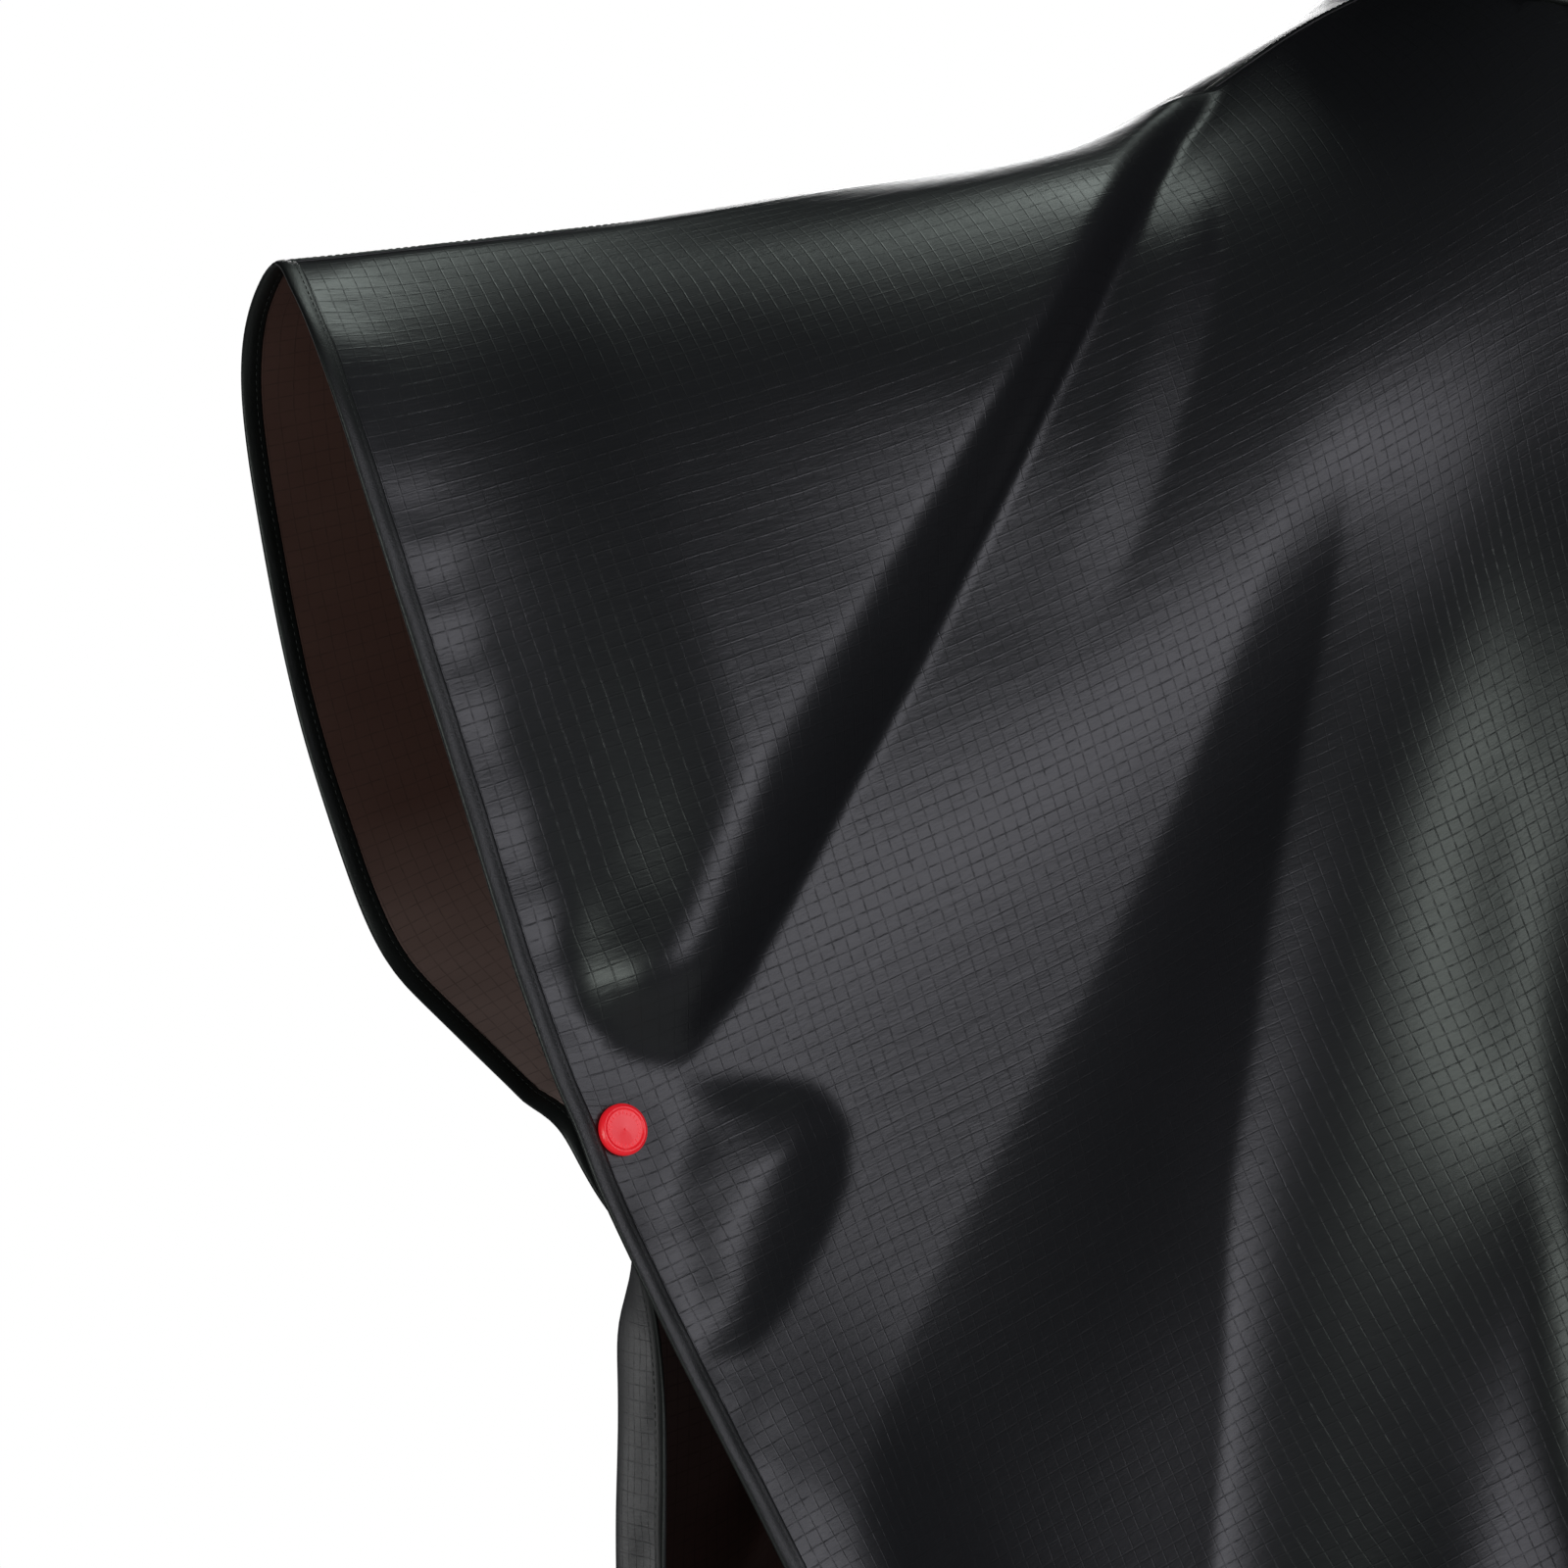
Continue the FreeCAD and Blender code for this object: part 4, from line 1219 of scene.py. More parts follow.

# %% Thicken and hang the sheets
thicken(front_sheet, CLOTH_THICK, outside, inside)
thicken(back_sheet, CLOTH_THICK, outside, inside)
hole_area = math.pi * NECK_X * NECK_Y
front_hole = hole_area * 0.62
for piece in front_pieces:
    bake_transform(piece)
for piece in back_pieces:
    attached(piece, "garment", "tape")
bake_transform(front_sheet)
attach(back_sheet, "garment")
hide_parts("front_panel", "front_yoke")
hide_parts("back_panel")
for piece, node in zip(front_pieces, ("front_right_binding", "front_left_binding", "front_hem_binding")):
    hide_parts(node)
for piece, node in zip(back_pieces, ("back_right_binding", "back_left_binding", "back_hem_binding")):
    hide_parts(node)
2 * HALF_CUT * FRONT_CUT - front_hole
2 * HALF_CUT * BACK_CUT - (hole_area - front_hole)


# %% Shoulder and neck seams
def tube_section(radius):
    around = np.linspace(0.0, 2.0 * math.pi, 13)[:-1]

    def section(run):
        size = radius * (1.0 + 0.10 * math.sin(run / 0.0045))
        return [(size * 1.25 * math.cos(angle), size * math.sin(angle)) for angle in around]
    return section


def seam_piece(name, path, radius, node, closed=False):
    piece = swept(name, path, tube_section(radius), [tape, thread], closed)
    add_stitches(piece, path, 0.0, (radius * 0.95,), 1)
    return attached(piece, "garment", "tape", node)


for side, name in SIDES.items():
    chosen = (np.abs(back_cut[:, 1]) < EDGE_NEAR) & (side * back_cut[:, 0] > NECK_X)
    path = edge_path(back_places, back_normals, back_cut, chosen, 0)
    seam_piece(f"{name}_shoulder_roll", evenly(path, PATH_STEP), 1.1 * MM, f"{name}_shoulder_seam")


def ring_path(count, grow, lift):
    """Oval path round the neck hole."""
    angle = np.linspace(0.0, 2.0 * math.pi, count + 1)[:-1]
    y = NECK_MID + (NECK_Y + grow) * np.sin(angle)
    line = np.stack([(NECK_X + grow) * np.cos(angle), y, NECK_Z + NECK_RISE * (y - NECK_MID) + lift], axis=1)
    tangent = unit_rows(np.roll(line, -1, axis=0) - np.roll(line, 1, axis=0))
    up = unit_rows(np.tile([0.0, -NECK_RISE, 1.0], (count, 1)))
    return line, up, tangent, np.arange(count) * PATH_STEP


seam_piece("neck_seam_roll", ring_path(200, 0.0, 0.0), SEAM_RADIUS, "neck_seam", closed=True)
print("seams made")

# %% [markdown]
# ## Press studs
# Each stud is turned round one axis: a moulded cap with a bevelled rim and a shallow dish, a socket
# with a ring spring behind the front cloth, and a stud with a rivet on the other cloth. A lathe
# function turns a section of (radius, height) points. The cap's dish carries a ring of plain ticks.
# %% Lathe
TURNS = 64


def lathe(mesh, place, axis, section, material_index=0):
    """Turn a closed section about an axis and add it to a bmesh."""
    first = np.cross(axis, (0.0, 0.0, 1.0))
    first /= np.linalg.norm(first)
    second = np.cross(axis, first)
    rings = []
    for turn in range(TURNS):
        angle = 2.0 * math.pi * turn / TURNS
        way = first * math.cos(angle) + second * math.sin(angle)
        ring = [place + way * radius * MM + axis * height * MM for radius, height in section]
        rings.append([mesh.verts.new(point) for point in ring])
    for one, two in zip(rings, rings[1:] + rings[:1]):
        for i in range(len(section)):
            j = (i + 1) % len(section)
            face = mesh.faces.new((one[i], one[j], two[j], two[i]))
            face.smooth = True
            face.material_index = material_index
    bmesh.ops.remove_doubles(mesh, verts=[v for ring in rings for v in ring], dist=1.0e-6)


def rounded(points, radius, steps=4):
    """A section with its corners rounded."""
    made = []
    count = len(points)
    for k in range(count):
        before, here, after = (np.array(points[(k + i) % count], float) for i in (-1, 0, 1))
        one, two = before - here, after - here
        reach = min(radius, 0.45 * np.linalg.norm(one), 0.45 * np.linalg.norm(two))
        one, two = one / np.linalg.norm(one) * reach, two / np.linalg.norm(two) * reach
        for share in np.linspace(0.0, 1.0, steps + 1):
            made.append(tuple(here + one * (1 - share) ** 2 + two * share ** 2))
    return made


CAP_SECTION = rounded([(0.02, 0.0), (9.5, 0.0), (9.8, 0.5), (9.8, 2.3), (8.7, 3.4), (7.9, 3.4), (7.4, 2.95),
                       (0.02, 3.05)], 0.45)
SOCKET_SECTION = rounded([(3.2, -1.3), (7.3, -1.3), (7.3, -1.9), (6.0, -4.1), (4.3, -4.1), (4.3, -1.8),
                          (3.2, -1.8)], 0.25)
STUD_SECTION = rounded([(0.02, -4.9), (6.3, -4.9), (6.3, -4.4), (3.2, -4.1), (2.9, -3.4), (3.4, -2.6),
                        (2.8, -1.9), (0.02, -1.9)], 0.25)
RIVET_SECTION = rounded([(0.02, -7.6), (5.2, -7.6), (6.3, -7.1), (6.3, -6.6), (0.02, -6.6)], 0.3)
TICKS = 24


def cap_ticks(mesh, place, axis):
    """A ring of plain raised bars in the cap's dish."""
    first = np.cross(axis, (0.0, 0.0, 1.0))
    first /= np.linalg.norm(first)
    second = np.cross(axis, first)
    for k in range(TICKS):
        angle = 2.0 * math.pi * k / TICKS
        way = first * math.cos(angle) + second * math.sin(angle)
        round_way = np.cross(axis, way)
        corners = []
        for height, shrink in ((2.9, 1.0), (3.16, 0.8)):
            for a, b in ((-1, -1), (1, -1), (1, 1), (-1, 1)):
                offset = way * (6.1 + a * 0.62 * shrink) + round_way * b * 0.26 * shrink + axis * height
                corners.append(mesh.verts.new(place + offset * MM))
        mesh.faces.new(corners[4:])
        for i in range(4):
            j = (i + 1) % 4
            mesh.faces.new((corners[i], corners[j], corners[4 + j], corners[4 + i]))


def turned(name, studs, section, material, body, node, slot, shift=0.0, extra=None):
    mesh = bmesh.new()
    for place, axis in studs:
        lathe(mesh, place + axis * shift * MM, axis, section)
        if extra:
            extra(mesh, place, axis)
    bmesh.ops.recalc_face_normals(mesh, faces=mesh.faces[:])
    return attached(mesh_piece(name, mesh, material), body, slot, node)


def wire_ring(radius, wire, height):
    around = np.linspace(0, 2 * math.pi, 11)[:-1]
    return [(radius + wire * math.cos(a), height + wire * math.sin(a)) for a in around]


# %% Turn the studs
turned("side_stud_caps", side_studs, CAP_SECTION, cap_red_painted_glow, "front", "side_caps", "cap", extra=cap_ticks)
turned("side_stud_sockets", side_studs, SOCKET_SECTION, stud_black, "front", "side_sockets", "stud")
turned("side_stud_springs", side_studs, wire_ring(3.75, 0.22, -3.2), spring_steel, "front",
       "side_socket_springs", "spring")
turned("side_stud_heads", side_studs, STUD_SECTION, stud_black, "garment", "side_studs", "stud")
turned("side_stud_backs", side_studs, RIVET_SECTION, stud_black, "garment", "side_stud_rivets", "stud")
patch = rounded([(7.6, 0.0), (12.0, 0.0), (12.0, 0.5), (7.6, 0.5)], 0.2)
turned("front_stud_patches", side_studs, patch, tape, "front", "front_snap_patches", "tape", shift=-1.9)
turned("back_stud_patches", side_studs, patch, tape, "garment", "back_snap_patches", "tape", shift=-4.9)
turned("throat_stud_caps", throat_studs, CAP_SECTION, cap_red_painted_glow, "flap", "throat_caps", "cap", extra=cap_ticks)
turned("throat_stud_sockets", throat_studs, SOCKET_SECTION, stud_black, "flap", "throat_sockets", "stud")
turned("throat_stud_springs", throat_studs, wire_ring(3.75, 0.22, -3.2), spring_steel, "flap",
       "throat_socket_springs", "spring")
turned("throat_stud_heads", throat_studs, STUD_SECTION, stud_black, "garment", "throat_studs", "stud")
turned("throat_stud_backs", throat_studs, RIVET_SECTION, stud_black, "garment", "throat_stud_rivets", "stud",
       shift=-1.2)
print("press studs turned")

# %% [markdown]
# ## Throat flap
# The slit below the throat is closed by a flap sewn along one side, with an underlap behind the slit.
# Both are small flat cloths, so each is a grid laid on the CAD piece it stands for and thickened, and the flap
# is edged.
# %% Flap and underlap
def laid_strip(name, node, half_width, lift, columns=17, rows=49, hollow=0.0):
    """A narrow cloth laid on the middle of a CAD strip."""
    tree = cad_surface(node)
    low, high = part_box(node)
    middle_x = (low[0] + high[0]) / 2
    line = []
    for z in np.linspace(high[2] - 1.5 * MM, low[2] + 1.5 * MM, 60):
        hit = tree.ray_cast(Vector((middle_x + half_width * 0.5, -1.0, z)), Vector((0, 1, 0)))
        if hit[0] is not None:
            line.append((middle_x, hit[0].y, z))
    run, points = by_length(np.array(line))
    mesh = bmesh.new()
    layer = mesh.verts.layers.float_vector.new("cut")
    grid = []
    for share in np.linspace(0.0, 1.0, rows):
        centre = at_length((run, points), share * run[-1])
        row = []
        for across in np.linspace(-1.0, 1.0, columns):
            x = middle_x + across * half_width
            curve = 0.0022 * across * across + hollow * math.sin(9.0 * share + 2.0 * across) * 0.3
            vert = mesh.verts.new((x, centre[1] + curve - lift, centre[2]))
            vert[layer] = Vector((x, share * run[-1], 0.0))
            row.append(vert)
        grid.append(row)
    for one, two in zip(grid, grid[1:]):
        for i in range(columns - 1):
            mesh.faces.new((one[i], two[i], two[i + 1], one[i + 1]))
    item = mesh_piece(name, mesh)
    item.data.update()
    return item, arrays(item), run[-1]


flap_low, flap_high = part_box("throat_flap_binding")
FLAP_HALF = (flap_high[0] - flap_low[0]) / 2 - 1.0 * MM
SEWN_HALF = 1.3 * MM
flap, flap_data, flap_long = laid_strip("throat_flap_cloth", "throat_flap", FLAP_HALF, 0.0, hollow=0.002)
flap_edges = []
flap_cut = flap_data[2]
for side in (-1, 1):
    edge_x = flap_cut[:, 0].max() if side > 0 else flap_cut[:, 0].min()
    chosen = np.abs(flap_cut[:, 0] - edge_x) < EDGE_NEAR
    half = BIND_HALF if side > 0 else SEWN_HALF
    flap_edges.append(bind(f"throat_flap_edge_{SIDES[side]}", flap_data, chosen, 1, -side, half))
flap_foot = np.abs(flap_cut[:, 1] - flap_long) < EDGE_NEAR
flap_edges.append(bind("throat_flap_foot", flap_data, flap_foot, 0, 1))
thicken(flap, 0.9 * MM, outside, inside)
attached(flap, "flap", "cloth", "throat_flap")
for piece in flap_edges:
    attached(piece, "flap", "tape")
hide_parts("throat_flap_binding")
under_low, under_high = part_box("throat_underlap")
UNDER_HALF = (under_high[0] - under_low[0]) / 2
underlap, _, under_long = laid_strip("throat_underlap_cloth", "throat_underlap", UNDER_HALF, -0.8 * MM)
thicken(underlap, 0.5 * MM, outside, inside)
attached(underlap, "garment", "cloth", "throat_underlap")
print("throat flap", round(2 * FLAP_HALF, 3), "by", round(flap_long, 3))

# %% [markdown]
# ## Hood
# The hood has a left and a right panel and a crown panel between them, with a bound face opening. It
# is shaped by ovals from the neck seam to the crown, as shares of the CAD hood's own box, and gathers
# run up from the neck seam. The ovals are cut by upright planes where the panels are sewn together.
# %% Hood surface
hood_low, hood_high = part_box("hood_left_panel")
crown_low, crown_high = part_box("hood_crown_panel")
HOOD_TOP = crown_high[2]
HOOD_HALF = 0.120 if hood_high[0] > 0.119 else hood_high[0]
SEAM_TOP = NECK_Z + 0.6 * MM
# share of height, share of half width, half depth over half width, middle y, tilt
OVALS = ((0.0, NECK_X / HOOD_HALF, NECK_Y / NECK_X, NECK_MID, NECK_RISE),
         (0.197, 0.833, 1.14, -0.010, 0.15),
         (0.372, 0.967, 1.103, 0.002, 0.05), (0.566, 1.0, 1.117, 0.008, 0.0), (0.760, 0.892, 1.159, 0.012, 0.0),
         (0.903, 0.633, 1.211, 0.016, 0.0), (0.977, 0.317, 1.263, 0.020, 0.0), (1.0, 0.02, 1.3, 0.021, 0.0))
FACE_FRONT = -0.072
CHIN = 0.040
HOOD_CENTRE_Y, HOOD_CENTRE_Z = 0.01, 0.13
CORNER = 0.030
CROWN_HALF = 0.034
CROWN_FOOT = 0.020


def oval_at(share):
    """Smooth values of the ovals at a share of the height."""
    table = np.array(OVALS)
    k = min(int(np.searchsorted(table[:, 0], share, side="right")) - 1, len(table) - 2)
    span = table[k + 1, 0] - table[k, 0]
    t = (share - table[k, 0]) / span
    before, after = table[max(k - 1, 0)], table[min(k + 2, len(table) - 1)]
    slope_a = (table[k + 1] - before) / (table[k + 1, 0] - before[0]) * span
    slope_b = (after - table[k]) / (after[0] - table[k, 0]) * span
    rise = table[k + 1] - table[k]
    return table[k] + t * (slope_a + t * (3 * rise - 2 * slope_a - slope_b + t * (slope_a + slope_b - 2 * rise)))


def hood_place(share, angle):
    """A point of the hood; angle is 0 at the back and pi at the front."""
    _, width, depth, middle, tilt = oval_at(share)
    half = HOOD_HALF * width
    x = half * math.sin(angle)
    y = middle + half * depth * math.cos(angle)
    z = SEAM_TOP + share * (HOOD_TOP - SEAM_TOP) + tilt * (y - middle)
    return np.array([x, y, z])


def face_angle(share):
    """Angle from the front at which the cloth starts, 0 where the hood is closed."""
    _, width, depth, middle, tilt = oval_at(share)
    z = SEAM_TOP + share * (HOOD_TOP - SEAM_TOP)
    half = HOOD_HALF * width
    if z <= CHIN or middle - half * depth >= FACE_FRONT:
        return 0.0
    opening = math.acos(min(1.0, (middle - FACE_FRONT) / (half * depth)))
    if z < CHIN + CORNER:
        up = (CHIN + CORNER - z) / CORNER
        opening = math.asin(math.sin(opening) * math.sqrt(max(0.0, 1.0 - up * up)))
    return opening


def hood_mesh(rows, columns):
    mesh = bmesh.new()
    shares = sorted(set(np.round(np.concatenate([
        np.linspace(0.0, 0.96, rows), 1.0 - 0.04 * np.linspace(1.0, 0.0, 9) ** 1.6,
        [(CHIN - SEAM_TOP) / (HOOD_TOP - SEAM_TOP) + d for d in (0.0002, 0.004, 0.012, 0.03)]]), 6)))
    grid = []
    for share in shares:
        limit = math.pi - face_angle(share)
        row = []
        for across in np.linspace(-1.0, 1.0, columns):
            angle = across * limit
            place = hood_place(share, angle)
            radial = np.array([math.sin(angle), math.cos(angle), 0.0])
            gather = math.exp(-share / 0.16) * math.cos(26.0 * angle + 2.0 * math.sin(3.0 * angle))
            slack = math.sin(3.0 * angle + 9.0 * share) * math.sin(math.pi * min(1.0, share * 1.2)) ** 2
            fold = math.exp(-((share - 0.30 - 0.10 * math.cos(2.0 * angle)) / 0.07) ** 2)
            dent = 0.0030 * fold * (1 - 0.5 * math.cos(angle))
            place = place + radial * (0.0013 * gather + 0.0022 * slack - dent)
            row.append(mesh.verts.new(place))
        grid.append(row)
    for one, two in zip(grid, grid[1:]):
        for i in range(columns - 1):
            mesh.faces.new((one[i], one[i + 1], two[i + 1], two[i]))
    bmesh.ops.remove_doubles(mesh, verts=mesh.verts[:], dist=2.0e-4)
    for x in (-CROWN_HALF, 0.0, CROWN_HALF):
        everything = mesh.verts[:] + mesh.edges[:] + mesh.faces[:]
        bmesh.ops.bisect_plane(mesh, geom=everything, plane_co=(x, 0, 0), plane_no=(1, 0, 0))
    everything = mesh.verts[:] + mesh.edges[:] + mesh.faces[:]
    bmesh.ops.bisect_plane(mesh, geom=everything, plane_co=(0, 0, CROWN_FOOT), plane_no=(0, 0, 1))
    bmesh.ops.recalc_face_normals(mesh, faces=mesh.faces[:])
    return mesh


hood_bm = hood_mesh(64, 150)
hood_middle = Vector((0, 0, 0.1))
outward_ok = sum(1 for face in hood_bm.faces
                 if face.normal.dot(face.calc_center_median() - hood_middle) > 0)
if outward_ok < len(hood_bm.faces) / 2:
    bmesh.ops.reverse_faces(hood_bm, faces=hood_bm.faces[:])
print("hood faces", len(hood_bm.faces))


# %% Hood panels, seams and face binding
def in_crown(point):
    return abs(point.x) < CROWN_HALF and point.y > FACE_FRONT and point.z > CROWN_FOOT


def hood_panel(name, wanted):
    mesh = hood_bm.copy()
    drop = [face for face in mesh.faces if not wanted(face.calc_center_median())]
    bmesh.ops.delete(mesh, geom=drop, context="FACES")
    layer = mesh.verts.layers.float_vector.new("cut")
    for vert in mesh.verts:
        vert[layer] = Vector((math.atan2(vert.co.x, vert.co.y) * 0.11, vert.co.z, 0.0))
    area = sum(face.calc_area() for face in mesh.faces)
    return mesh_piece(name, mesh), area


def boundary_loops(mesh):
    """Ordered loops of open edges, as lists of (place, normal)."""
    edges = [edge for edge in mesh.edges if edge.is_boundary]
    nearby = {}
    for edge in edges:
        for vert in edge.verts:
            nearby.setdefault(vert, []).append(edge.other_vert(vert))
    left = set(nearby)
    loops = []
    while left:
        first = left.pop()
        loop = [first]
        here = first
        while True:
            onward = [v for v in nearby[here] if v in left]
            if not onward:
                break
            here = onward[0]
            left.discard(here)
            loop.append(here)
        loops.append([(np.array(v.co), np.array(v.normal)) for v in loop])
    return loops


def loop_path(loop, pitch, closed):
    line = np.array([place for place, normal in loop])
    up = np.array([normal for place, normal in loop])
    if closed:
        line, up = np.vstack([line, line[:1]]), np.vstack([up, up[:1]])
    tangent = np.gradient(line, axis=0)
    tangent /= np.maximum(np.linalg.norm(tangent, axis=1), 1e-9)[:, None]
    path = evenly((line, up, tangent), pitch)
    line, up, tangent, steps = path
    for _ in range(3):
        line[1:-1] = (line[:-2] + 2 * line[1:-1] + line[2:]) / 4
    tangent = unit_rows(np.gradient(line, axis=0))
    up = square_to(up, tangent)
    if closed:
        return line[:-1], up[:-1], tangent[:-1], steps[:-1]
    return line, up, tangent, steps


def on_hood(piece, slot, *nodes):
    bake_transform(piece)
    if nodes:
        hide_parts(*nodes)
    return piece


loops = sorted(boundary_loops(hood_bm), key=len)
face_loop = [loop for loop in loops if max(place[2] for place, _ in loop) > 0.15 and len(loop) > 60][0]
face_path = loop_path(face_loop, PATH_STEP, True)
face_section = roll_section(BIND_HALF, 1.5 * MM, 1.9 * MM)
face_roll = swept("hood_face_roll", face_path, face_section, [tape, thread], True)
add_stitches(face_roll, face_path, 1.9 * MM, (1.0 * MM, -1.0 * MM), 1)
on_hood(face_roll, "tape", "hood_face_binding")
hood_parts = []
for name, node, wanted in (
        ("hood_right_cloth", "hood_right_panel", lambda p: not in_crown(p) and p.x < 0),
        ("hood_left_cloth", "hood_left_panel", lambda p: not in_crown(p) and p.x > 0),
        ("hood_crown_cloth", "hood_crown_panel", in_crown)):
    panel, area = hood_panel(name, wanted)
    thicken(panel, 0.6 * MM, outside, inside)
    on_hood(panel, "cloth", node)
    hood_parts.append((panel, area))
print("hood panels", [(panel.name, round(area, 4)) for panel, area in hood_parts])


def cut_line(x, front):
    """Points of the hood on an upright plane, from the nape over the crown."""
    picked = []
    for vert in hood_bm.verts:
        if abs(vert.co.x - x) < 1e-5 and ((vert.co.y > FACE_FRONT and vert.co.z > CROWN_FOOT) != front):
            picked.append((np.array(vert.co), np.array(vert.normal)))
    if front:
        return sorted([item for item in picked if item[0][1] < 0], key=lambda item: item[0][2])
    return sorted(picked, key=lambda item: math.atan2(item[0][1] - HOOD_CENTRE_Y, item[0][2] - HOOD_CENTRE_Z))


for side, name in SIDES.items():
    path = loop_path(cut_line(side * CROWN_HALF, False), PATH_STEP, False)
    roll = swept(f"hood_{name}_seam_roll", path, tube_section(0.9 * MM), [tape, thread])
    on_hood(add_stitches(roll, path, 2.6 * MM, (0.1 * MM,), 1), "tape")
path = loop_path([item for item in cut_line(0.0, True) if item[0][2] < CHIN + 0.001], PATH_STEP, False)
chin_roll = swept("hood_chin_seam_roll", path, tube_section(0.9 * MM), [tape, thread])
on_hood(add_stitches(chin_roll, path, 2.6 * MM, (0.1 * MM,), 1), "tape")
for (panel, area), width in zip(hood_parts, (0.27, 0.27, 0.068)):
    max(0.25, area / width * 1.02)

# %% Eyelets
eyelet_ring = rounded([(2.2, -1.2), (4.4, -1.2), (4.5, -0.2), (3.4, 1.1), (2.2, 0.5)], 0.4)
eyelets = []
for low, high, group in islands("hood_eyelets"):
    middle = (low + high) / 2
    outward = np.array([middle[0] / NECK_X ** 2, (middle[1] - NECK_MID) / NECK_Y ** 2, 0.0])
    eyelets.append((middle, outward / np.linalg.norm(outward)))
mesh = bmesh.new()
for place, axis in eyelets:
    lathe(mesh, place, axis, eyelet_ring)
bmesh.ops.recalc_face_normals(mesh, faces=mesh.faces[:])
on_hood(mesh_piece("hood_eyelet_rings", mesh, stud_black), "stud", "hood_eyelets")

# %% [markdown]
# ## Brim
# The brim is a stiff layered cloth, sewn with rows of stitches and bound along its free edge. It
# follows a formula: an arch over the brow that falls away at its ends.
# %% Brim
brim_low, brim_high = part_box("brim_panel")
bound_low, bound_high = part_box("brim_binding")
BRIM_HALF = brim_high[0] / 1.03
BRIM_ROOT = brim_high[1]
BRIM_REACH = brim_high[1] - bound_low[1]
BRIM_TOP = brim_high[2] - 1.1 * MM
BRIM_ARCH = 0.046
BRIM_FALL = 0.014


def brim_place(across, out):
    reach = BRIM_REACH * (1.0 - 0.6 * across ** 4) * out
    x = BRIM_HALF * across * (1.0 + 0.03 * out)
    z = BRIM_TOP - BRIM_ARCH * across ** 2 - BRIM_FALL * out * (1.0 - 0.5 * across ** 2)
    return np.array([x, BRIM_ROOT - reach, z])


def brim_grid(columns, rows):
    mesh = bmesh.new()
    layer = mesh.verts.layers.float_vector.new("cut")
    grid = []
    for across in np.linspace(-1.0, 1.0, columns):
        row = []
        for out in np.linspace(0.0, 0.96, rows):
            ripple = np.array([0, 0, 0.0004 * math.sin(34 * across + 5 * out)])
            vert = mesh.verts.new(brim_place(across, out) + ripple)
            vert[layer] = Vector((across * BRIM_HALF, out * BRIM_REACH, 0.0))
            row.append(vert)
        grid.append(row)
    for one, two in zip(grid, grid[1:]):
        for i in range(rows - 1):
            mesh.faces.new((one[i], one[i + 1], two[i + 1], two[i]))
    return mesh_piece("brim_cloth", mesh)


brim = brim_grid(81, 21)
if brim.data.polygons[10].normal.z < 0:
    brim.data.flip_normals()
thicken(brim, 2.2 * MM, outside, outside)
for vert in brim.data.vertices:
    vert.co.z += 1.1 * MM
brim.data.materials.append(thread)


def brim_path(out, count=120):
    line = np.array([brim_place(across, out) for across in np.linspace(-0.985, 0.985, count)])
    tangent = unit_rows(np.gradient(line, axis=0))
    return line, square_to(np.tile([0.0, 0.0, 1.0], (count, 1)), tangent), tangent


for out in (0.22, 0.42, 0.62, 0.80):
    add_stitches(brim, brim_path(out), 0.0, (1.2 * MM, -1.2 * MM), 2)
brim_edge_path = evenly(brim_path(0.955), 2.5 * MM)
brim_section = roll_section(3.0 * MM, 1.9 * MM, 1.4 * MM)
brim_edge = swept("brim_edge_roll", brim_edge_path, brim_section, [tape, thread])
add_stitches(brim_edge, brim_edge_path, 1.4 * MM, (1.4 * MM, -1.4 * MM), 1)
attached(brim, "brim", "cloth", "brim_panel")
attached(brim_edge, "brim", "tape", "brim_binding")

# %% [markdown]
# ## Hanger loop and label
# A folded tape loop inside the nape hangs the poncho on a hook. It is swept along a U with round
# corners. Its ends are caught by two bar tacks, and a blank satin label is sewn beside it.
# %% Loop, tacks and label
loop_low, loop_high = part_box("hanger_loop")
LOOP_Y = (loop_low[1] + loop_high[1]) / 2
LOOP_HALF_TAPE = 3.0 * MM


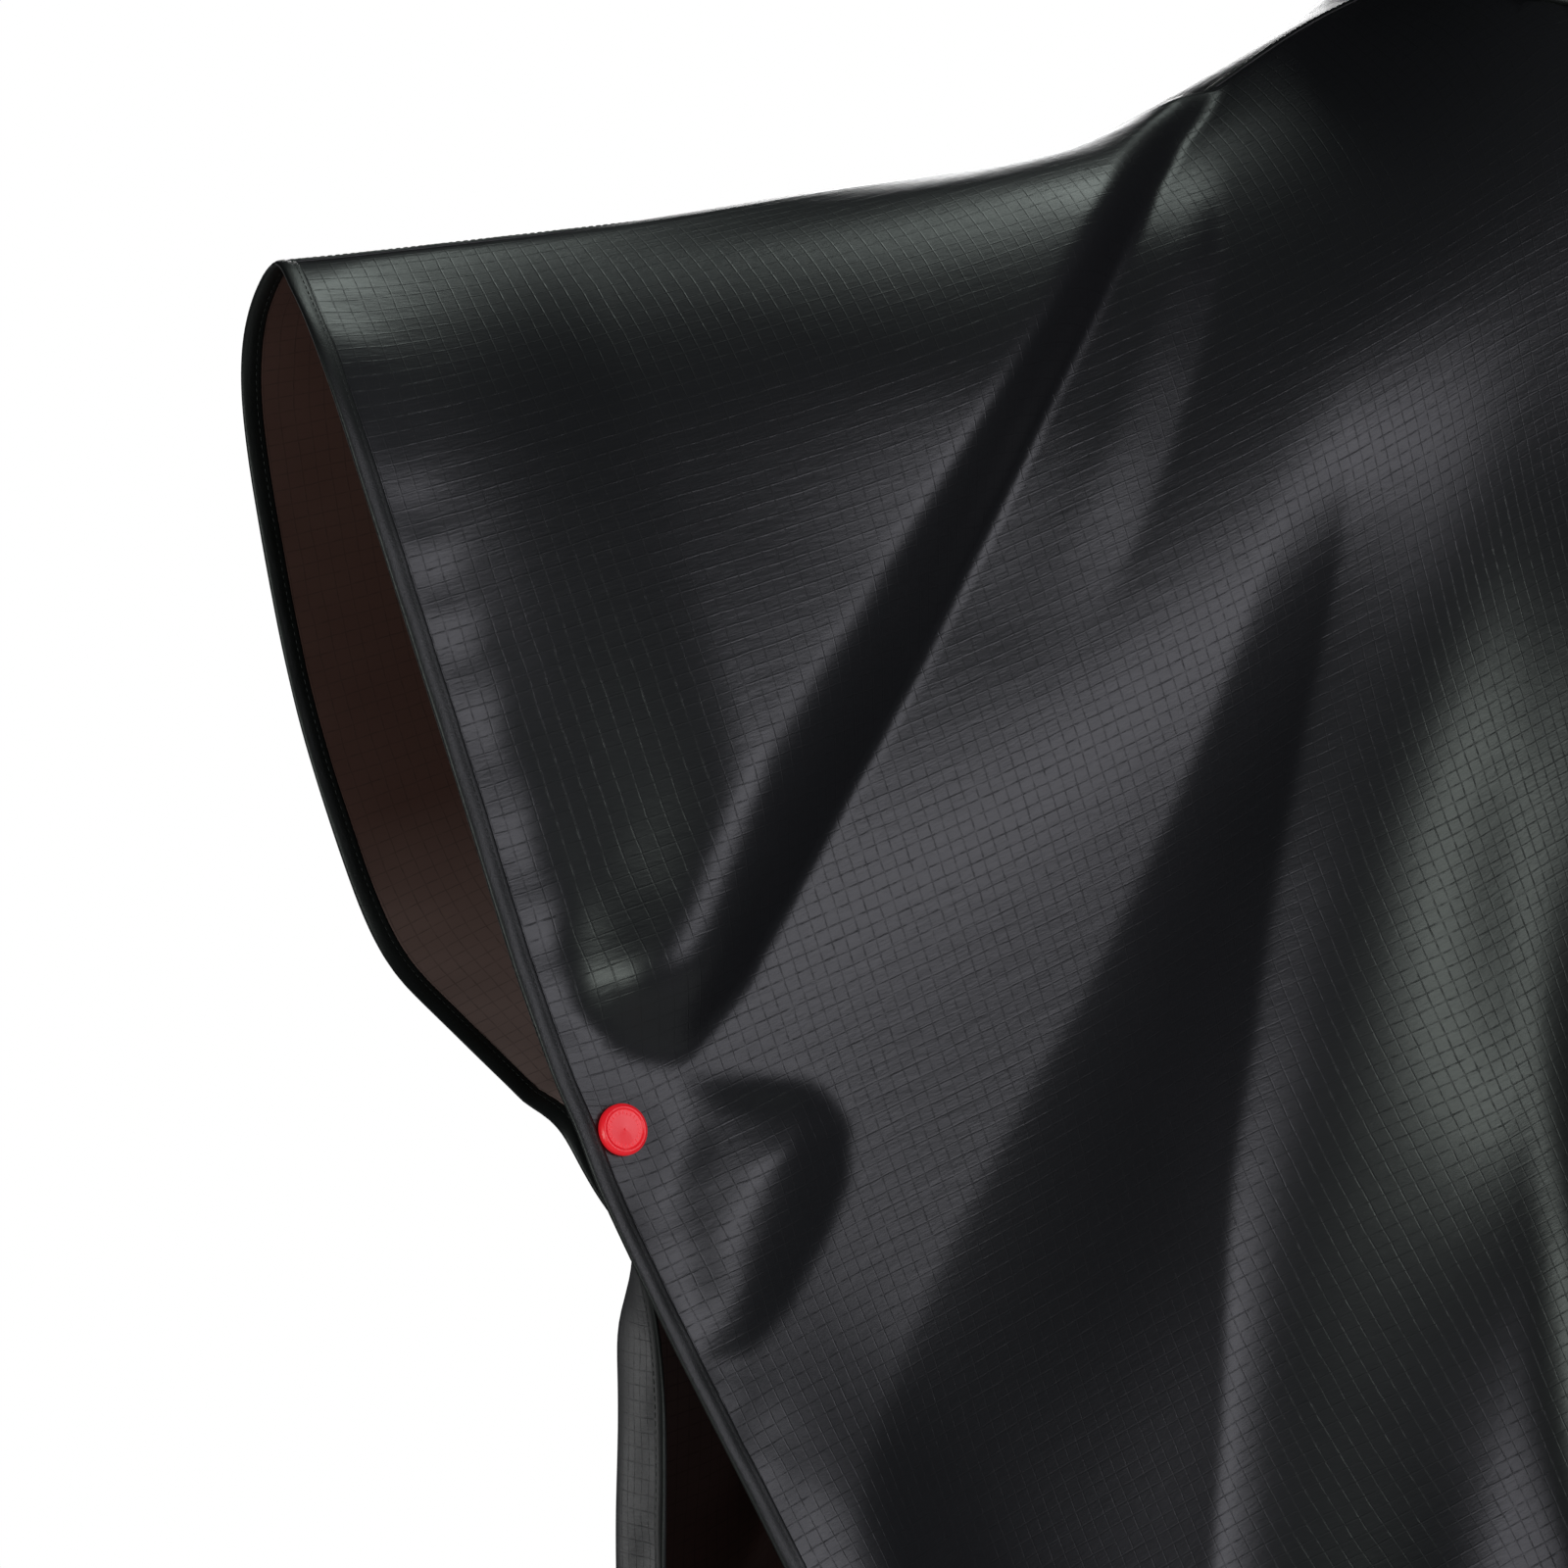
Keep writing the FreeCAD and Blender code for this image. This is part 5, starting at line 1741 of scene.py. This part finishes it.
def loop_line():
    half = (loop_high[0] - loop_low[0]) / 2 - LOOP_HALF_TAPE
    low = loop_low[2] + LOOP_HALF_TAPE
    radius = 0.007
    points = [(-half, LOOP_Y, loop_high[2]), (-half, LOOP_Y, (loop_high[2] + low) / 2)]
    for angle in np.linspace(math.pi, 1.5 * math.pi, 9):
        x = -half + radius + radius * math.cos(angle)
        points.append((x, LOOP_Y, low + radius + radius * math.sin(angle)))
    points.append((0.0, LOOP_Y, low))
    mirrored = [(-x, y, z) for x, y, z in points[:-1][::-1]]
    line = np.array(points + mirrored)
    return line, np.tile([0.0, -1.0, 0.0], (len(line), 1)), unit_rows(np.gradient(line, axis=0))


def tape_section(half_width, half_thick):
    flat_points = rounded([(-half_width, -half_thick), (half_width, -half_thick), (half_width, half_thick),
                           (-half_width, half_thick)], half_thick * 0.8, 3)
    return lambda run: [(a, b * (1.0 + 0.06 * math.sin(run / 0.0009))) for a, b in flat_points]


loop_path_even = evenly(loop_line(), 1.0 * MM)
hanger = swept("hanger_loop_tape", loop_path_even, tape_section(LOOP_HALF_TAPE, 0.6 * MM), [tape, thread])
for sideways in (-2.2 * MM, 2.2 * MM):
    add_stitches(hanger, loop_path_even, sideways, (0.55 * MM,), 1)
attached(hanger, "loop", "tape", "hanger_loop")


def bar_tacks():
    """Dense zigzag bars of thread over the loop's ends."""
    piece = mesh_piece("hanger_bar_tacks", bmesh.new(), thread)
    for low, high, group in islands("hanger_tacks"):
        for level in np.linspace(low[2] + 0.3 * MM, high[2] - 0.3 * MM, 9):
            line = np.array([(x, high[1] - 1.0 * MM, level) for x in np.linspace(low[0], high[0], 8)])
            tangent = np.tile([1.0, 0.0, 0.0], (8, 1))
            up = np.tile([0.0, -1.0, 0.0], (8, 1))
            add_stitches(piece, (line, up, tangent), 0.0, (0.2 * MM, 1.2 * MM), 0)
    return piece


tacks = bar_tacks()
attached(tacks, "garment", "tape", "hanger_tacks")
label_low, label_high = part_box("care_label")


def blank_label():
    mesh = bmesh.new()
    grid = []
    for z in np.linspace(label_high[2], label_low[2], 31):
        row = []
        for x in np.linspace(label_low[0], label_high[0], 25):
            share = (label_high[2] - z) / (label_high[2] - label_low[2])
            curl = 0.0016 * share ** 2 * math.sin(60.0 * (x - label_low[0]))
            row.append(mesh.verts.new((x, label_low[1] - curl, z)))
        grid.append(row)
    for one, two in zip(grid, grid[1:]):
        for i in range(len(one) - 1):
            mesh.faces.new((one[i], two[i], two[i + 1], one[i + 1]))
    return mesh_piece("blank_label", mesh)


label = thicken(blank_label(), 0.3 * MM, label_white, label_white)
attached(label, "garment", "label", "care_label")
hood_bm.free()
